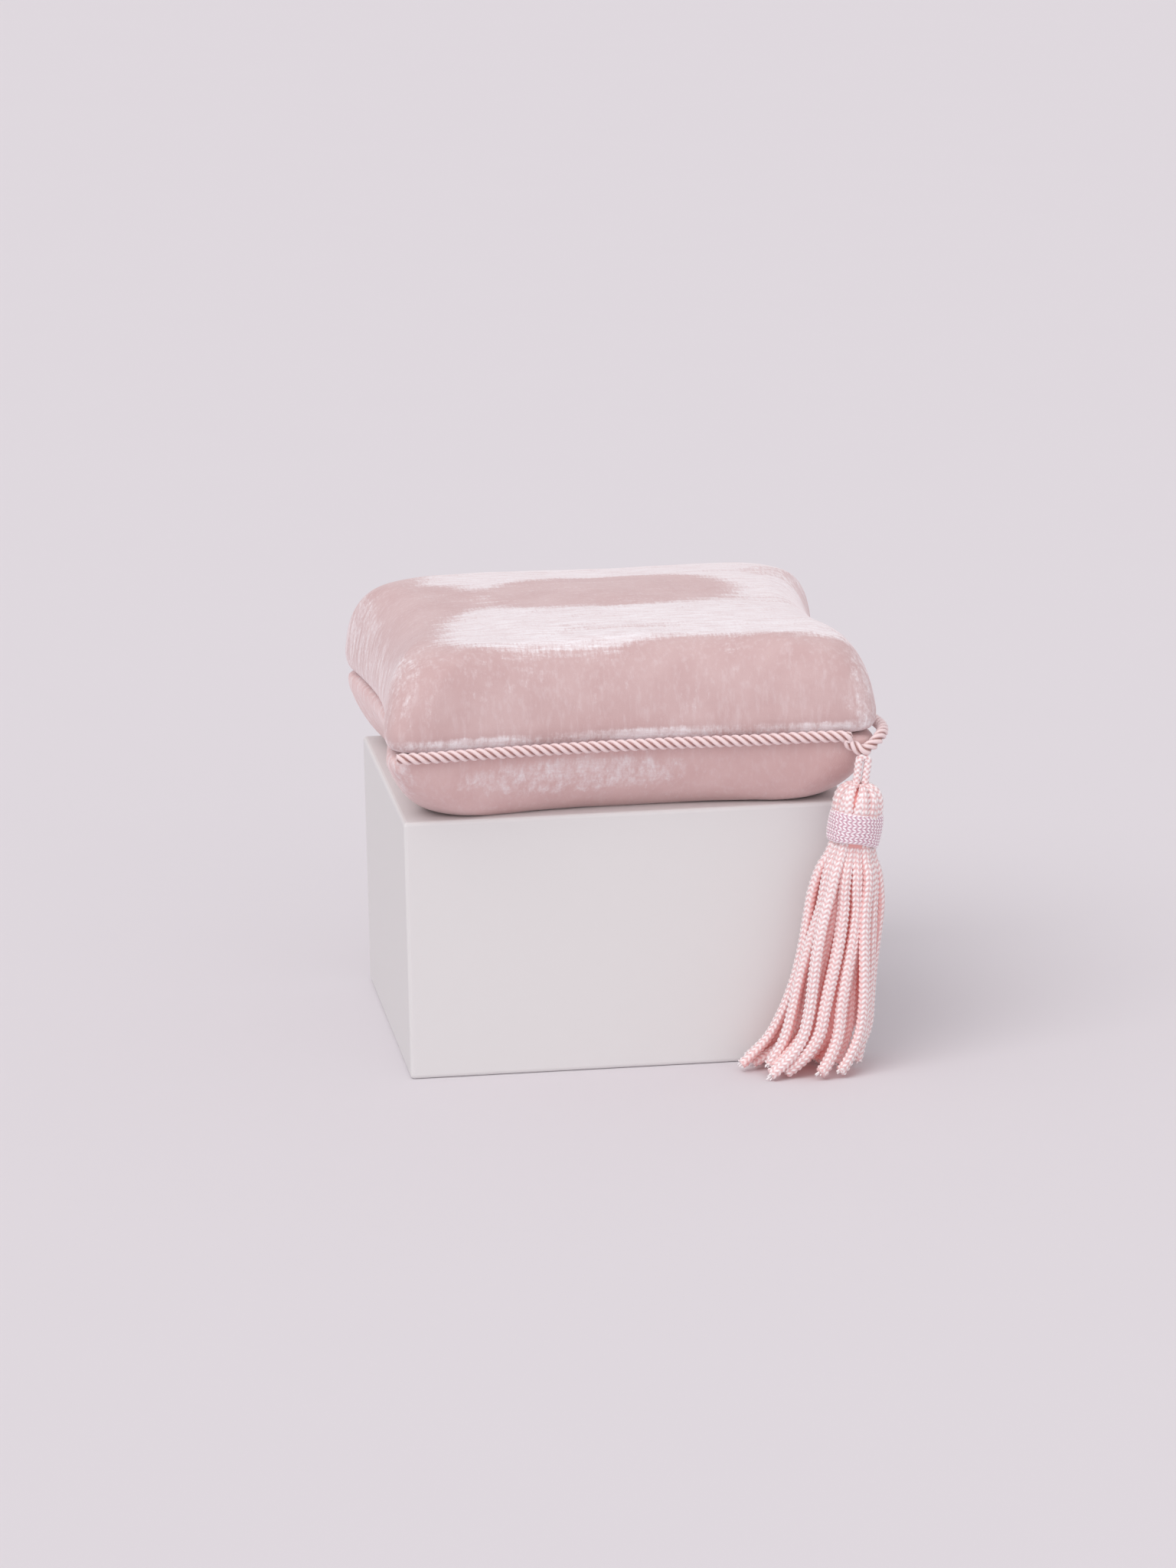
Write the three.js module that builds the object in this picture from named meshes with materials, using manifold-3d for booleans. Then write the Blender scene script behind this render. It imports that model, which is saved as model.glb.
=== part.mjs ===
// A pillow-shaped ring box in velvet: a padded base and a hinged padded lid, a twisted cord in the seam,
// ring rolls inside, and a chainette tassel that hangs from the front right corner.
// Millimetres, +Z up. The front faces -Y, the hinge runs along X at the back, and the origin is the
// middle of the flat underside.
import * as THREE from 'three';
import Module from 'manifold-3d';
import { mergeVertices } from 'three/addons/utils/BufferGeometryUtils.js';

const wasm = await Module();
wasm.setup();

// ---- driving dimensions -------------------------------------------------------------------------
const BOX_WIDTH = 101; // along X, at the seam
const BOX_DEPTH = 99; // along Y, at the seam
const BASE_HEIGHT = 15; // underside to the middle of the seam
const LID_HEIGHT = 22; // middle of the seam to the crown
const LID_CROWN = 1.5; // rise of the crown above its ridge
const CORNER_RADIUS = 8.6;
const CORNER_SPREAD = 0.3; // extra corner radius for each millimetre of inset
const CORNER_EAR = 1.8; // how far a corner points out beyond its arc, at the seam
const SIDE_PULL = 3; // how far a side dips in between its corners, at the seam
const SIDE_PULL_TOP = 4.6; // the same, at the lid's ridge and at the underside's edge
const LID_RIDGE_INSET = 14;
const LID_POWER = 2.6; // squareness of the lid's section
const BASE_EDGE_INSET = 10.3;
const BASE_POWER = 1.55;

const SEAM_GAP = 0.3;
const SEAM_ROUND = 3; // rounding of both velvet edges at the seam
const LAYER_GAP = 0.3;
const VELVET = 0.9;
const WADDING = 2.4;
const BOARD_WALL = 1.5;
const LINING = 0.6;
const TURN_OVER = 0.8; // how far the turned-in velvet covers the board's rim

const CORD_DIAMETER = 2.5;
const CORD_GAP = 0.55;
const BARREL_GAP = 0.2; // between the hinge's barrels and the velvet

const HINGE_LENGTH = 60;
const PIN_RADIUS = 0.7;
const PIN_CLEARANCE = 0.25;
const BARREL_WALL = 0.65;
const LEAF_THICKNESS = 0.6;
const LEAF_DROP = 5;
const KNUCKLE_GAP = 0.4;
const CENTRE_KNUCKLE = 20;
const RIVET_RADIUS = 1.1;
const RIVET_HEIGHT = 0.7;
const RIVETS_PER_LEAF = 3;

const MAGNET = { length: 12, thickness: 1.2, height: 2.6 };
const MAGNET_DEPTH = { base: 1.2, lid: 0.8 }; // from the padding's outside to the magnet
const POCKET_CLEARANCE = 0.3;

const BED_CLEARANCE = 0.8; // from the bed's edge to the inner wall
const BED_CORNER = 5;
const BED_THICKNESS = 1.6;
const RING_SLOT = 4.8; // width of a ring slot
const ROLL_HEIGHT = 9;
const ROLL_COUNT = 3;
const LID_PAD_CLEARANCE = 0.8;
const LID_PAD_CORNER = 6;
const LID_PAD_THICKNESS = 3.6;

const TASSEL_OFFSET = { x: -3.8, y: -1.8 }; // from the box's front right corner to the tassel
const TASSEL_LEAN = 8.5; // degrees that the tassel leans towards -X, its ends resting on the ground
const DIP_DROP = 3.9; // from the middle of the seam to the underside of the cord's dip
const LOOP_STRAND = 1.5;
const LOOP_DROP = 5.2;
const HEAD_HEIGHT = 5.7;
const HEAD_RADIUS = 4.9;
const NECK_RADIUS = 4.3;
const BAND_HEIGHT = 7.2;
const BAND_WALL = 0.8;
const STRAND_DIAMETER = 1.8;
const STRAND_PITCH = 2.1;
const STRAND_LENGTH = 46;
const STRAND_ROWS = [4, 5, 6, 5, 4];
const STRAND_SPREAD = 0.5; // growth of the bundle from its neck to its ends, along X and along Y
const STRAND_SPLAY = { x: 1.2, y: 0.8 }; // extra growth of the ends where they meet the ground
const STRAND_UNEVEN = 1.2; // largest difference in length between two strands

// ---- colours --------------------------------------------------------------------------------------
const FINISH = {
  velvet: { color: 0xd3a9a8, roughness: 0.9, metalness: 0 },
  wadding: { color: 0xf1ece6, roughness: 1, metalness: 0 },
  board: { color: 0xcbbfae, roughness: 0.85, metalness: 0 },
  satin: { color: 0xeed9d4, roughness: 0.35, metalness: 0 },
  cord: { color: 0xdcb0ab, roughness: 0.5, metalness: 0 },
  brass: { color: 0xc9a765, roughness: 0.35, metalness: 1 },
  steel: { color: 0xa8a8ac, roughness: 0.35, metalness: 1 },
};

const materialOf = (finish) => new THREE.MeshStandardMaterial(FINISH[finish]);

function addPart(parent, name, geometry, finish) {
  const mesh = new THREE.Mesh(geometry, materialOf(finish));
  mesh.name = name;
  parent.add(mesh);
  return mesh;
}

// ---- plan outline -----------------------------------------------------------------------------------
const CORNER_STEPS = 3;
const SIDE_STEPS = 4;

// Pull and ears fade as an outline shrinks towards the middle of the crown.
const flattening = (inset) => Math.min(1, (Math.min(BOX_WIDTH, BOX_DEPTH) - 2 * inset) / BOX_DEPTH);
const sidePull = (inset, share) => (SIDE_PULL + (SIDE_PULL_TOP - SIDE_PULL) * share) * flattening(inset);

// One closed ring of points: a rounded rectangle whose sides dip in between its corners. share is 0 at
// the seam and 1 at the far edge of the form. The back side stays straight, because the hinge lies on it.
function outline(inset, share) {
  const halfX = BOX_WIDTH / 2 - inset;
  const halfY = BOX_DEPTH / 2 - inset;
  const radius = Math.min(CORNER_RADIUS + CORNER_SPREAD * inset, 0.8 * Math.min(halfX, halfY));
  const ear = CORNER_EAR * (1 - share) * flattening(inset);
  const pull = sidePull(inset, share);
  const corners = [
    [1, 1],
    [-1, 1],
    [-1, -1],
    [1, -1],
  ];
  const arcPoint = ([sx, sy], angle) =>
    new THREE.Vector2(
      sx * (halfX - radius) + radius * Math.cos(angle),
      sy * (halfY - radius) + radius * Math.sin(angle),
    );
  const points = [];
  corners.forEach((corner, k) => {
    const start = (k * Math.PI) / 2;
    for (let i = 0; i <= CORNER_STEPS; i += 1) {
      const angle = start + ((i / CORNER_STEPS) * Math.PI) / 2;
      const bulge = ear * Math.sin(2 * (angle - start)) ** 2 * Math.SQRT1_2;
      const point = arcPoint(corner, angle);
      const backwards = corner[1] > 0 ? 0 : corner[1];
      points.push(point.add(new THREE.Vector2(corner[0] * bulge, backwards * bulge)));
    }
    const angle = start + Math.PI / 2;
    const from = arcPoint(corner, angle);
    const to = arcPoint(corners[(k + 1) % 4], angle);
    const dip = k === 0 ? 0 : pull;
    for (let j = 1; j < SIDE_STEPS; j += 1) {
      const inwards = new THREE.Vector2(-Math.cos(angle), -Math.sin(angle));
      const point = from.clone().lerp(to, j / SIDE_STEPS);
      points.push(point.addScaledVector(inwards, dip * Math.sin((Math.PI * j) / SIDE_STEPS)));
    }
  });
  return points;
}

// ---- padded form: a section curve in (inset, height above the seam edge) ----------------------------
const LID = { up: 1, rise: LID_HEIGHT - LID_CROWN, crown: LID_CROWN, inset: LID_RIDGE_INSET, power: LID_POWER };
LID.angles = [6, 25, 45, 62, 77, 90];
const BASE = { up: -1, rise: BASE_HEIGHT, crown: 0, inset: BASE_EDGE_INSET, power: BASE_POWER };
BASE.angles = [17, 36, 54, 72, 90];
const MID_CROWN = 0.5;
const ROUND_ANGLE = THREE.MathUtils.degToRad(50);
const RIDGE_LEAN = 0.25; // how much a layer's ridge moves inwards for each millimetre of its depth

function sectionPoint(form, angle) {
  const side = Math.max(0, Math.cos(angle)) ** (2 / form.power);
  const top = Math.max(0, Math.sin(angle)) ** (2 / form.power);
  return { inset: form.inset * (1 - side), height: form.rise * top };
}

// The section curve moved inwards by depth, from the seam's side to the ridge.
function sectionWall(form, depth) {
  const step = 0.01;
  return form.angles.map((degrees) => {
    const angle = THREE.MathUtils.degToRad(degrees);
    const point = sectionPoint(form, angle);
    const before = sectionPoint(form, angle - step);
    const after = sectionPoint(form, Math.min(angle + step, Math.PI / 2));
    const run = after.inset - before.inset;
    const climb = after.height - before.height;
    const length = Math.hypot(run, climb);
    const normal =
      degrees === 90 ? { inset: RIDGE_LEAN, height: -1 } : { inset: climb / length, height: -run / length };
    return { inset: point.inset + depth * normal.inset, height: point.height + depth * normal.height };
  });
}

// The crown's rings beyond the ridge; the last one is a single point in the middle.
function crown(form, depth) {
  const reach = BOX_DEPTH / 2 - form.inset;
  const rise = form.rise + form.crown;
  return [
    {
      inset: form.inset + (1 - MID_CROWN) * reach,
      height: rise - form.crown * MID_CROWN ** 1.5 - depth,
    },
    { centre: true, height: rise - depth },
  ];
}

const seamArc = (depth) => ({
  inset: SEAM_ROUND - (SEAM_ROUND - depth) * Math.sin(ROUND_ANGLE),
  height: SEAM_ROUND - (SEAM_ROUND - depth) * Math.cos(ROUND_ANGLE),
});

// A station as a ring of points in space. Heights count from the form's own edge at the seam.
function ringAt(form, station) {
  const z = BASE_HEIGHT + form.up * (SEAM_GAP / 2 + station.height * (1 - SEAM_GAP / (2 * (form.rise + form.crown))));
  if (station.centre) return [new THREE.Vector3(0, 0, z)];
  const share = THREE.MathUtils.clamp(station.height / form.rise, 0, 1);
  return outline(station.inset, share).map((p) => new THREE.Vector3(p.x, p.y, z));
}

// A closed skin through rings of equal count; a ring of one point closes an end as a fan.
function loft(rings) {
  const position = [];
  const index = [];
  const starts = rings.map((ring) => {
    const start = position.length / 3;
    ring.forEach((p) => position.push(p.x, p.y, p.z));
    return start;
  });
  for (let r = 0; r + 1 < rings.length; r += 1) {
    const count = Math.max(rings[r].length, rings[r + 1].length);
    for (let i = 0; i < count; i += 1) {
      const j = (i + 1) % count;
      const a = rings[r].length === 1 ? starts[r] : starts[r] + i;
      const b = rings[r].length === 1 ? starts[r] : starts[r] + j;
      const c = rings[r + 1].length === 1 ? starts[r + 1] : starts[r + 1] + i;
      const d = rings[r + 1].length === 1 ? starts[r + 1] : starts[r + 1] + j;
      if (rings[r].length > 1) index.push(a, b, c);
      if (rings[r + 1].length > 1) index.push(b, d, c);
    }
  }
  const geometry = new THREE.BufferGeometry();
  geometry.setAttribute('position', new THREE.Float32BufferAttribute(position, 3));
  geometry.setIndex(index);
  return facingOut(geometry);
}

function signedVolume(geometry) {
  const p = geometry.attributes.position;
  const index = geometry.index.array;
  const [a, b, c] = [new THREE.Vector3(), new THREE.Vector3(), new THREE.Vector3()];
  let volume = 0;
  for (let i = 0; i < index.length; i += 3) {
    a.fromBufferAttribute(p, index[i]);
    b.fromBufferAttribute(p, index[i + 1]);
    c.fromBufferAttribute(p, index[i + 2]);
    volume += a.dot(b.cross(c)) / 6;
  }
  return volume;
}

function facingOut(geometry) {
  if (signedVolume(geometry) < 0) geometry.index.array.reverse();
  geometry.computeVertexNormals();
  return geometry;
}

// ---- joining and cutting ----------------------------------------------------------------------------
function merged(geometry) {
  const bare = geometry.clone();
  bare.deleteAttribute('normal');
  bare.deleteAttribute('uv');
  return mergeVertices(bare, 1e-4);
}

function solid(geometry) {
  const mesh = merged(geometry);
  const vertProperties = new Float32Array(mesh.attributes.position.array);
  const triVerts = new Uint32Array(mesh.index.array);
  return new wasm.Manifold(new wasm.Mesh({ numProp: 3, vertProperties, triVerts }));
}

function geometryOf(manifold) {
  const mesh = manifold.getMesh();
  const geometry = new THREE.BufferGeometry();
  geometry.setAttribute('position', new THREE.BufferAttribute(new Float32Array(mesh.vertProperties), 3));
  geometry.setIndex(new THREE.BufferAttribute(new Uint32Array(mesh.triVerts), 1));
  geometry.computeVertexNormals();
  return geometry;
}

const cut = (geometry, tool) => geometryOf(solid(geometry).subtract(solid(tool)));
const join = (geometries) => geometryOf(geometries.map(solid).reduce((a, b) => a.add(b)));

// A box between two corners.
function block(low, high) {
  const size = high.map((v, i) => v - low[i]);
  return new THREE.BoxGeometry(...size).translate(...low.map((v, i) => v + size[i] / 2));
}

// ---- the four layers of a padded half ---------------------------------------------------------------
const WADDING_OUT = VELVET + LAYER_GAP;
const WADDING_IN = WADDING_OUT + WADDING;
const BOARD_OUT = WADDING_IN + LAYER_GAP;
const BOARD_IN = BOARD_OUT + BOARD_WALL;
const LINING_OUT = BOARD_IN + LAYER_GAP;
const LINING_IN = LINING_OUT + LINING;
const VELVET_TURN_IN = BOARD_OUT + TURN_OVER;

// Rings from the crown's outer middle, down the wall, round the given rim, and back up inside.
function tray(form, outer, rim, inner) {
  const down = [...sectionWall(form, outer), ...crown(form, outer)].reverse();
  const up = [...sectionWall(form, inner), ...crown(form, inner)];
  return loft([...down, ...rim, ...up].map((station) => ringAt(form, station)));
}

function velvetCover(form) {
  const rim = [
    seamArc(0),
    { inset: SEAM_ROUND, height: 0 },
    { inset: VELVET_TURN_IN, height: 0 },
    { inset: VELVET_TURN_IN, height: VELVET },
    { inset: SEAM_ROUND, height: VELVET },
    seamArc(VELVET),
  ];
  return tray(form, 0, rim, VELVET);
}

function waddingLayer(form) {
  const rim = [
    seamArc(WADDING_OUT),
    { inset: SEAM_ROUND, height: WADDING_OUT },
    { inset: WADDING_IN, height: WADDING_OUT },
  ];
  return tray(form, WADDING_OUT, rim, WADDING_IN);
}

function boardTray(form) {
  const rim = [
    { inset: BOARD_OUT, height: WADDING_OUT },
    { inset: BOARD_IN, height: WADDING_OUT },
  ];
  return tray(form, BOARD_OUT, rim, BOARD_IN);
}

function liningTray(form) {
  const flange = VELVET_TURN_IN + LAYER_GAP;
  const rim = [
    { inset: LINING_OUT, height: VELVET },
    { inset: flange, height: VELVET },
    { inset: flange, height: LAYER_GAP },
    { inset: LINING_IN, height: LAYER_GAP },
  ];
  return tray(form, LINING_OUT, rim, LINING_IN);
}

// ---- hinge ------------------------------------------------------------------------------------------
const BARREL_BORE = PIN_RADIUS + PIN_CLEARANCE;
const BARREL_RADIUS = BARREL_BORE + BARREL_WALL;
const SEAM_EDGE = SEAM_ROUND + SEAM_GAP / 2;

// How far outside the outline a round thing lies when it nests in the seam between the two velvet edges.
const nestOutside = (radius, gap) => Math.sqrt((SEAM_ROUND + radius + gap) ** 2 - SEAM_EDGE ** 2) - SEAM_ROUND;

const HINGE_Y = BOX_DEPTH / 2 + nestOutside(BARREL_RADIUS, BARREL_GAP);
const LEAF_RECESS = 1; // depth of the leaf's seat below each velvet edge

// Inset of a half's inner face at a height, read off the faceted wall.
function innerInset(form, height) {
  const wall = [{ inset: LINING_IN, height: LAYER_GAP }, ...sectionWall(form, LINING_IN)];
  const above = wall.findIndex((station) => station.height >= height);
  const [low, high] = [wall[above - 1], wall[above]];
  return low.inset + ((high.inset - low.inset) * (height - low.height)) / (high.height - low.height);
}

const leafEnd = (form) =>
  BOX_DEPTH / 2 - innerInset(form, LEAF_DROP + LEAF_THICKNESS) - LAYER_GAP - LEAF_THICKNESS;
const LEAF_OFFSET = SEAM_GAP / 2 + 0.1;
const LEAF_BACK = HINGE_Y - BARREL_RADIUS - 0.5;

const leafSeat = () =>
  block(
    [-HINGE_LENGTH / 2 - 0.6, leafEnd(BASE), BASE_HEIGHT - SEAM_GAP / 2 - LEAF_RECESS],
    [HINGE_LENGTH / 2 + 0.6, HINGE_Y + 3, BASE_HEIGHT + SEAM_GAP / 2 + LEAF_RECESS],
  );

// A tube along X, open at both ends, from a closed profile.
function tubeAlongX(inner, outer, from, to) {
  const profile = [
    [inner, from],
    [outer, from],
    [outer, to],
    [inner, to],
    [inner, from],
  ].map(([r, x]) => new THREE.Vector2(r, x));
  return facingOut(new THREE.LatheGeometry(profile, 16)).rotateZ(-Math.PI / 2);
}

const barrel = (from, to) =>
  tubeAlongX(BARREL_BORE, BARREL_RADIUS, from, to).translate(0, HINGE_Y, BASE_HEIGHT);

// A leaf: knuckles, a plate through the seam, and a flange against the inner wall.
function hingeLeaf(form, knuckles) {
  const { up } = form;
  const end = leafEnd(form);
  const half = HINGE_LENGTH / 2;
  const near = BASE_HEIGHT + up * LEAF_OFFSET;
  const far = near + up * LEAF_THICKNESS;
  const tip = near + up * LEAF_DROP;
  const slab = (x0, x1, y0, y1, z0, z1) => block([x0, y0, Math.min(z0, z1)], [x1, y1, Math.max(z0, z1)]);
  const pieces = [
    slab(-half, half, end, LEAF_BACK, near, far),
    slab(-half, half, end, end + LEAF_THICKNESS, near, tip),
  ];
  knuckles.forEach(([x0, x1]) => {
    pieces.push(barrel(x0, x1));
    pieces.push(slab(x0, x1, LEAF_BACK - 0.2, HINGE_Y - BARREL_BORE - 0.25, near, far));
  });
  return join(pieces);
}

const SIDE_KNUCKLE_START = CENTRE_KNUCKLE / 2 + KNUCKLE_GAP;
const SIDE_KNUCKLES = [
  [-HINGE_LENGTH / 2, -SIDE_KNUCKLE_START],
  [SIDE_KNUCKLE_START, HINGE_LENGTH / 2],
];
const CENTRE_KNUCKLES = [[-CENTRE_KNUCKLE / 2, CENTRE_KNUCKLE / 2]];

// ---- ring bed ---------------------------------------------------------------------------------------
function roundedPlate(halfX, halfY, radius, thickness) {
  const shape = new THREE.Shape();
  const corners = [
    [halfX - radius, halfY - radius, 0],
    [radius - halfX, halfY - radius, Math.PI / 2],
    [radius - halfX, radius - halfY, Math.PI],
    [halfX - radius, radius - halfY, 1.5 * Math.PI],
  ];
  corners.forEach(([x, y, start]) => shape.absarc(x, y, radius, start, start + Math.PI / 2, false));
  return new THREE.ExtrudeGeometry(shape, { depth: thickness, bevelEnabled: false, curveSegments: 3 });
}

const BED_FLOOR = LINING_IN + LAYER_GAP;
const ROLL_FLOOR = BED_FLOOR + BED_THICKNESS + LAYER_GAP;
const BED_INSET = innerInset(BASE, BASE_HEIGHT - BED_FLOOR);
const bedHalf = (size) => size / 2 - BED_INSET - sidePull(BED_INSET, 0.5) - BED_CLEARANCE;
const BED_HALF = { x: bedHalf(BOX_WIDTH), y: bedHalf(BOX_DEPTH) };
const ROLL_WIDTH = (2 * BED_HALF.y - 1 - RING_SLOT * (ROLL_COUNT - 1)) / ROLL_COUNT;
const ROLL_LENGTH = 2 * BED_HALF.x - 2;

const PAD_INSET = LID_RIDGE_INSET + RIDGE_LEAN * LINING_IN;
const padHalf = (size) => size / 2 - PAD_INSET - sidePull(PAD_INSET, 1) - LID_PAD_CLEARANCE;

// A roll's section: flat below, half an oval above, extruded along X.
function ringRoll() {
  const foot = ROLL_HEIGHT * 0.35;
  const shape = new THREE.Shape();
  shape.moveTo(-ROLL_WIDTH / 2, 0);
  shape.lineTo(ROLL_WIDTH / 2, 0);
  shape.lineTo(ROLL_WIDTH / 2, foot);
  shape.absellipse(0, foot, ROLL_WIDTH / 2, ROLL_HEIGHT - foot, 0, Math.PI, false);
  shape.lineTo(-ROLL_WIDTH / 2, 0);
  const body = new THREE.ExtrudeGeometry(shape, { depth: ROLL_LENGTH, bevelEnabled: false, curveSegments: 5 });
  return body.rotateX(Math.PI / 2).rotateZ(Math.PI / 2).translate(-ROLL_LENGTH / 2, 0, 0);
}

// A soft pad: rounded edges on a rounded rectangle.
function softPad(halfX, halfY, thickness) {
  const ring = (inset, z) => {
    const points = [];
    const radius = LID_PAD_CORNER;
    [
      [1, 1],
      [-1, 1],
      [-1, -1],
      [1, -1],
    ].forEach(([sx, sy], k) => {
      for (let i = 0; i <= CORNER_STEPS; i += 1) {
        const angle = ((k + i / CORNER_STEPS) * Math.PI) / 2;
        const x = sx * (halfX - inset - radius) + radius * Math.cos(angle);
        const y = sy * (halfY - inset - radius) + radius * Math.sin(angle);
        points.push(new THREE.Vector3(x, y, z));
      }
    });
    return points;
  };
  return loft([
    [new THREE.Vector3(0, 0, 0)],
    ring(4, 0.15 * thickness),
    ring(1, 0.35 * thickness),
    ring(0, 0.7 * thickness),
    ring(0.6, thickness),
    [new THREE.Vector3(0, 0, thickness)],
  ]);
}

// ---- cords ------------------------------------------------------------------------------------------
const CORD_SIDES = 8;

function circleShape(radius, sides) {
  const points = [];
  for (let i = 0; i < sides; i += 1) {
    const angle = (2 * Math.PI * i) / sides;
    points.push(new THREE.Vector2(radius * Math.cos(angle), radius * Math.sin(angle)));
  }
  return new THREE.Shape(points);
}

function cordAlong(points, diameter, steps) {
  const path = new THREE.CatmullRomCurve3(points.map(([x, y, z]) => new THREE.Vector3(x, y, z)), false, 'centripetal');
  return new THREE.ExtrudeGeometry(circleShape(diameter / 2, CORD_SIDES), { extrudePath: path, steps });
}

const TASSEL_PLACE = { x: BOX_WIDTH / 2 + TASSEL_OFFSET.x, y: -BOX_DEPTH / 2 + TASSEL_OFFSET.y };
const DIP_BOTTOM = BASE_HEIGHT - DIP_DROP;

// The trim cord lies in the seam along the front and the right side. Between the two it leaves the seam
// at the front right corner and dips to carry the tassel.
function trimRoute() {
  const outside = nestOutside(CORD_DIAMETER / 2, CORD_GAP);
  const seat = outline(-outside, 0).map((p) => [p.x, p.y, BASE_HEIGHT]);
  const perSide = CORNER_STEPS + SIDE_STEPS;
  const front = seat.slice(2 * perSide + 2, 3 * perSide + 1);
  const side = [...seat.slice(3 * perSide + CORNER_STEPS), ...seat.slice(0, 1)];
  const bottom = DIP_BOTTOM + CORD_DIAMETER / 2;
  const dip = [
    [TASSEL_PLACE.x - 3.4, TASSEL_PLACE.y + 0.7, bottom + 2.1],
    [TASSEL_PLACE.x - 1.5, TASSEL_PLACE.y + 0.1, bottom + 0.5],
    [TASSEL_PLACE.x, TASSEL_PLACE.y, bottom],
    [TASSEL_PLACE.x + 1.4, TASSEL_PLACE.y + 0.9, bottom + 0.5],
    [TASSEL_PLACE.x + 3.6, TASSEL_PLACE.y + 2.8, bottom + 1.9],
  ];
  return [...front, ...dip, ...side];
}

// ---- tassel -----------------------------------------------------------------------------------------
// Its own frame has its origin at the top of the loop, with the tassel straight down -Z.
const HEAD_TOP = -LOOP_DROP;
const BAND_TOP = HEAD_TOP - HEAD_HEIGHT;
const BAND_BOTTOM = BAND_TOP - BAND_HEIGHT;
const BAND_OUTER = NECK_RADIUS + LAYER_GAP + BAND_WALL;

function tasselLoop() {
  const half = LOOP_STRAND / 2 + 0.15;
  const top = -LOOP_STRAND / 2;
  const foot = HEAD_TOP + LAYER_GAP;
  const points = [
    [-half, 0, foot],
    [-half, 0, (foot + top) / 2],
    [-half * 0.95, 0, top - half * 0.7],
    [-half * 0.5, 0, top - 0.1],
    [half * 0.5, 0, top - 0.1],
    [half * 0.95, 0, top - half * 0.7],
    [half, 0, (foot + top) / 2],
    [half, 0, foot],
  ];
  return cordAlong(points, LOOP_STRAND, 14);
}

function tasselHead() {
  const profile = [
    [0, HEAD_TOP],
    [0.5, HEAD_TOP - 0.02 * HEAD_HEIGHT],
    [1.8, HEAD_TOP - 0.15 * HEAD_HEIGHT],
    [3.7, HEAD_TOP - 0.3 * HEAD_HEIGHT],
    [HEAD_RADIUS - 0.2, HEAD_TOP - 0.5 * HEAD_HEIGHT],
    [HEAD_RADIUS, BAND_TOP + 0.2 * HEAD_HEIGHT],
    [NECK_RADIUS, BAND_TOP],
    [NECK_RADIUS, BAND_BOTTOM],
    [0, BAND_BOTTOM],
  ].map(([r, z]) => new THREE.Vector2(r, z));
  return facingOut(new THREE.LatheGeometry(profile, 16)).rotateX(Math.PI / 2);
}

function tasselBand() {
  const inner = NECK_RADIUS + LAYER_GAP;
  const profile = [
    [inner, BAND_BOTTOM],
    [BAND_OUTER - 0.2, BAND_BOTTOM],
    [BAND_OUTER, BAND_BOTTOM + 0.15 * BAND_HEIGHT],
    [BAND_OUTER, BAND_TOP - LAYER_GAP - 0.15 * BAND_HEIGHT],
    [BAND_OUTER - 0.2, BAND_TOP - LAYER_GAP],
    [inner, BAND_TOP - LAYER_GAP],
    [inner, BAND_BOTTOM],
  ].map(([r, z]) => new THREE.Vector2(r, z));
  return facingOut(new THREE.LatheGeometry(profile, 20)).rotateX(Math.PI / 2);
}

// One strand's line: down from the neck, spreading as it goes, and splayed at its end. The strands on the
// -X side splay most, because the tassel leans that way, and every strand is cut where it meets the ground.
function strandRoute(column, row) {
  const count = STRAND_ROWS[row];
  const x = (column - (count - 1) / 2) * STRAND_PITCH;
  const y = (row - (STRAND_ROWS.length - 1) / 2) * STRAND_PITCH * Math.cos(Math.PI / 6);
  const splay = { x: x < 0 ? STRAND_SPLAY.x : 0, y: STRAND_SPLAY.y };
  const endX = x * (1 + STRAND_SPREAD + splay.x);
  const slant = endX * Math.tan(THREE.MathUtils.degToRad(TASSEL_LEAN));
  const shorten = STRAND_UNEVEN * Math.abs(Math.sin(3.1 * column + 1.7 * row));
  const top = BAND_BOTTOM - LAYER_GAP;
  const points = [];
  const steps = 8;
  for (let i = 0; i <= steps; i += 1) {
    const share = i / steps;
    const spread = STRAND_SPREAD * share;
    points.push([
      x * (1 + spread + splay.x * share ** 6),
      y * (1 + spread + splay.y * share ** 5),
      top - share * (STRAND_LENGTH - shorten - slant),
    ]);
  }
  return points;
}

// ---- assembly ---------------------------------------------------------------------------------------
const ringBox = new THREE.Group();
const base = new THREE.Group();
const lid = new THREE.Group();
const tassel = new THREE.Group();
tassel.position.set(TASSEL_PLACE.x, TASSEL_PLACE.y, DIP_BOTTOM - LAYER_GAP);
tassel.rotation.y = THREE.MathUtils.degToRad(TASSEL_LEAN);
ringBox.add(base, lid, tassel);

function magnetBox(up, inset, clearance, open) {
  const middle = -(BOX_DEPTH / 2 - SIDE_PULL - inset - MAGNET.thickness / 2);
  const start = WADDING_OUT + SEAM_GAP / 2 + LAYER_GAP - clearance - open;
  const end = WADDING_OUT + SEAM_GAP / 2 + LAYER_GAP + MAGNET.height + clearance;
  const halfY = MAGNET.thickness / 2 + clearance * 2;
  const halfX = MAGNET.length / 2 + clearance;
  const z = [BASE_HEIGHT + up * start, BASE_HEIGHT + up * end].sort((a, b) => a - b);
  const thick = clearance > 0 ? halfY : MAGNET.thickness / 2;
  return block([-halfX, middle - thick, z[0]], [halfX, middle + thick, z[1]]);
}

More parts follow.
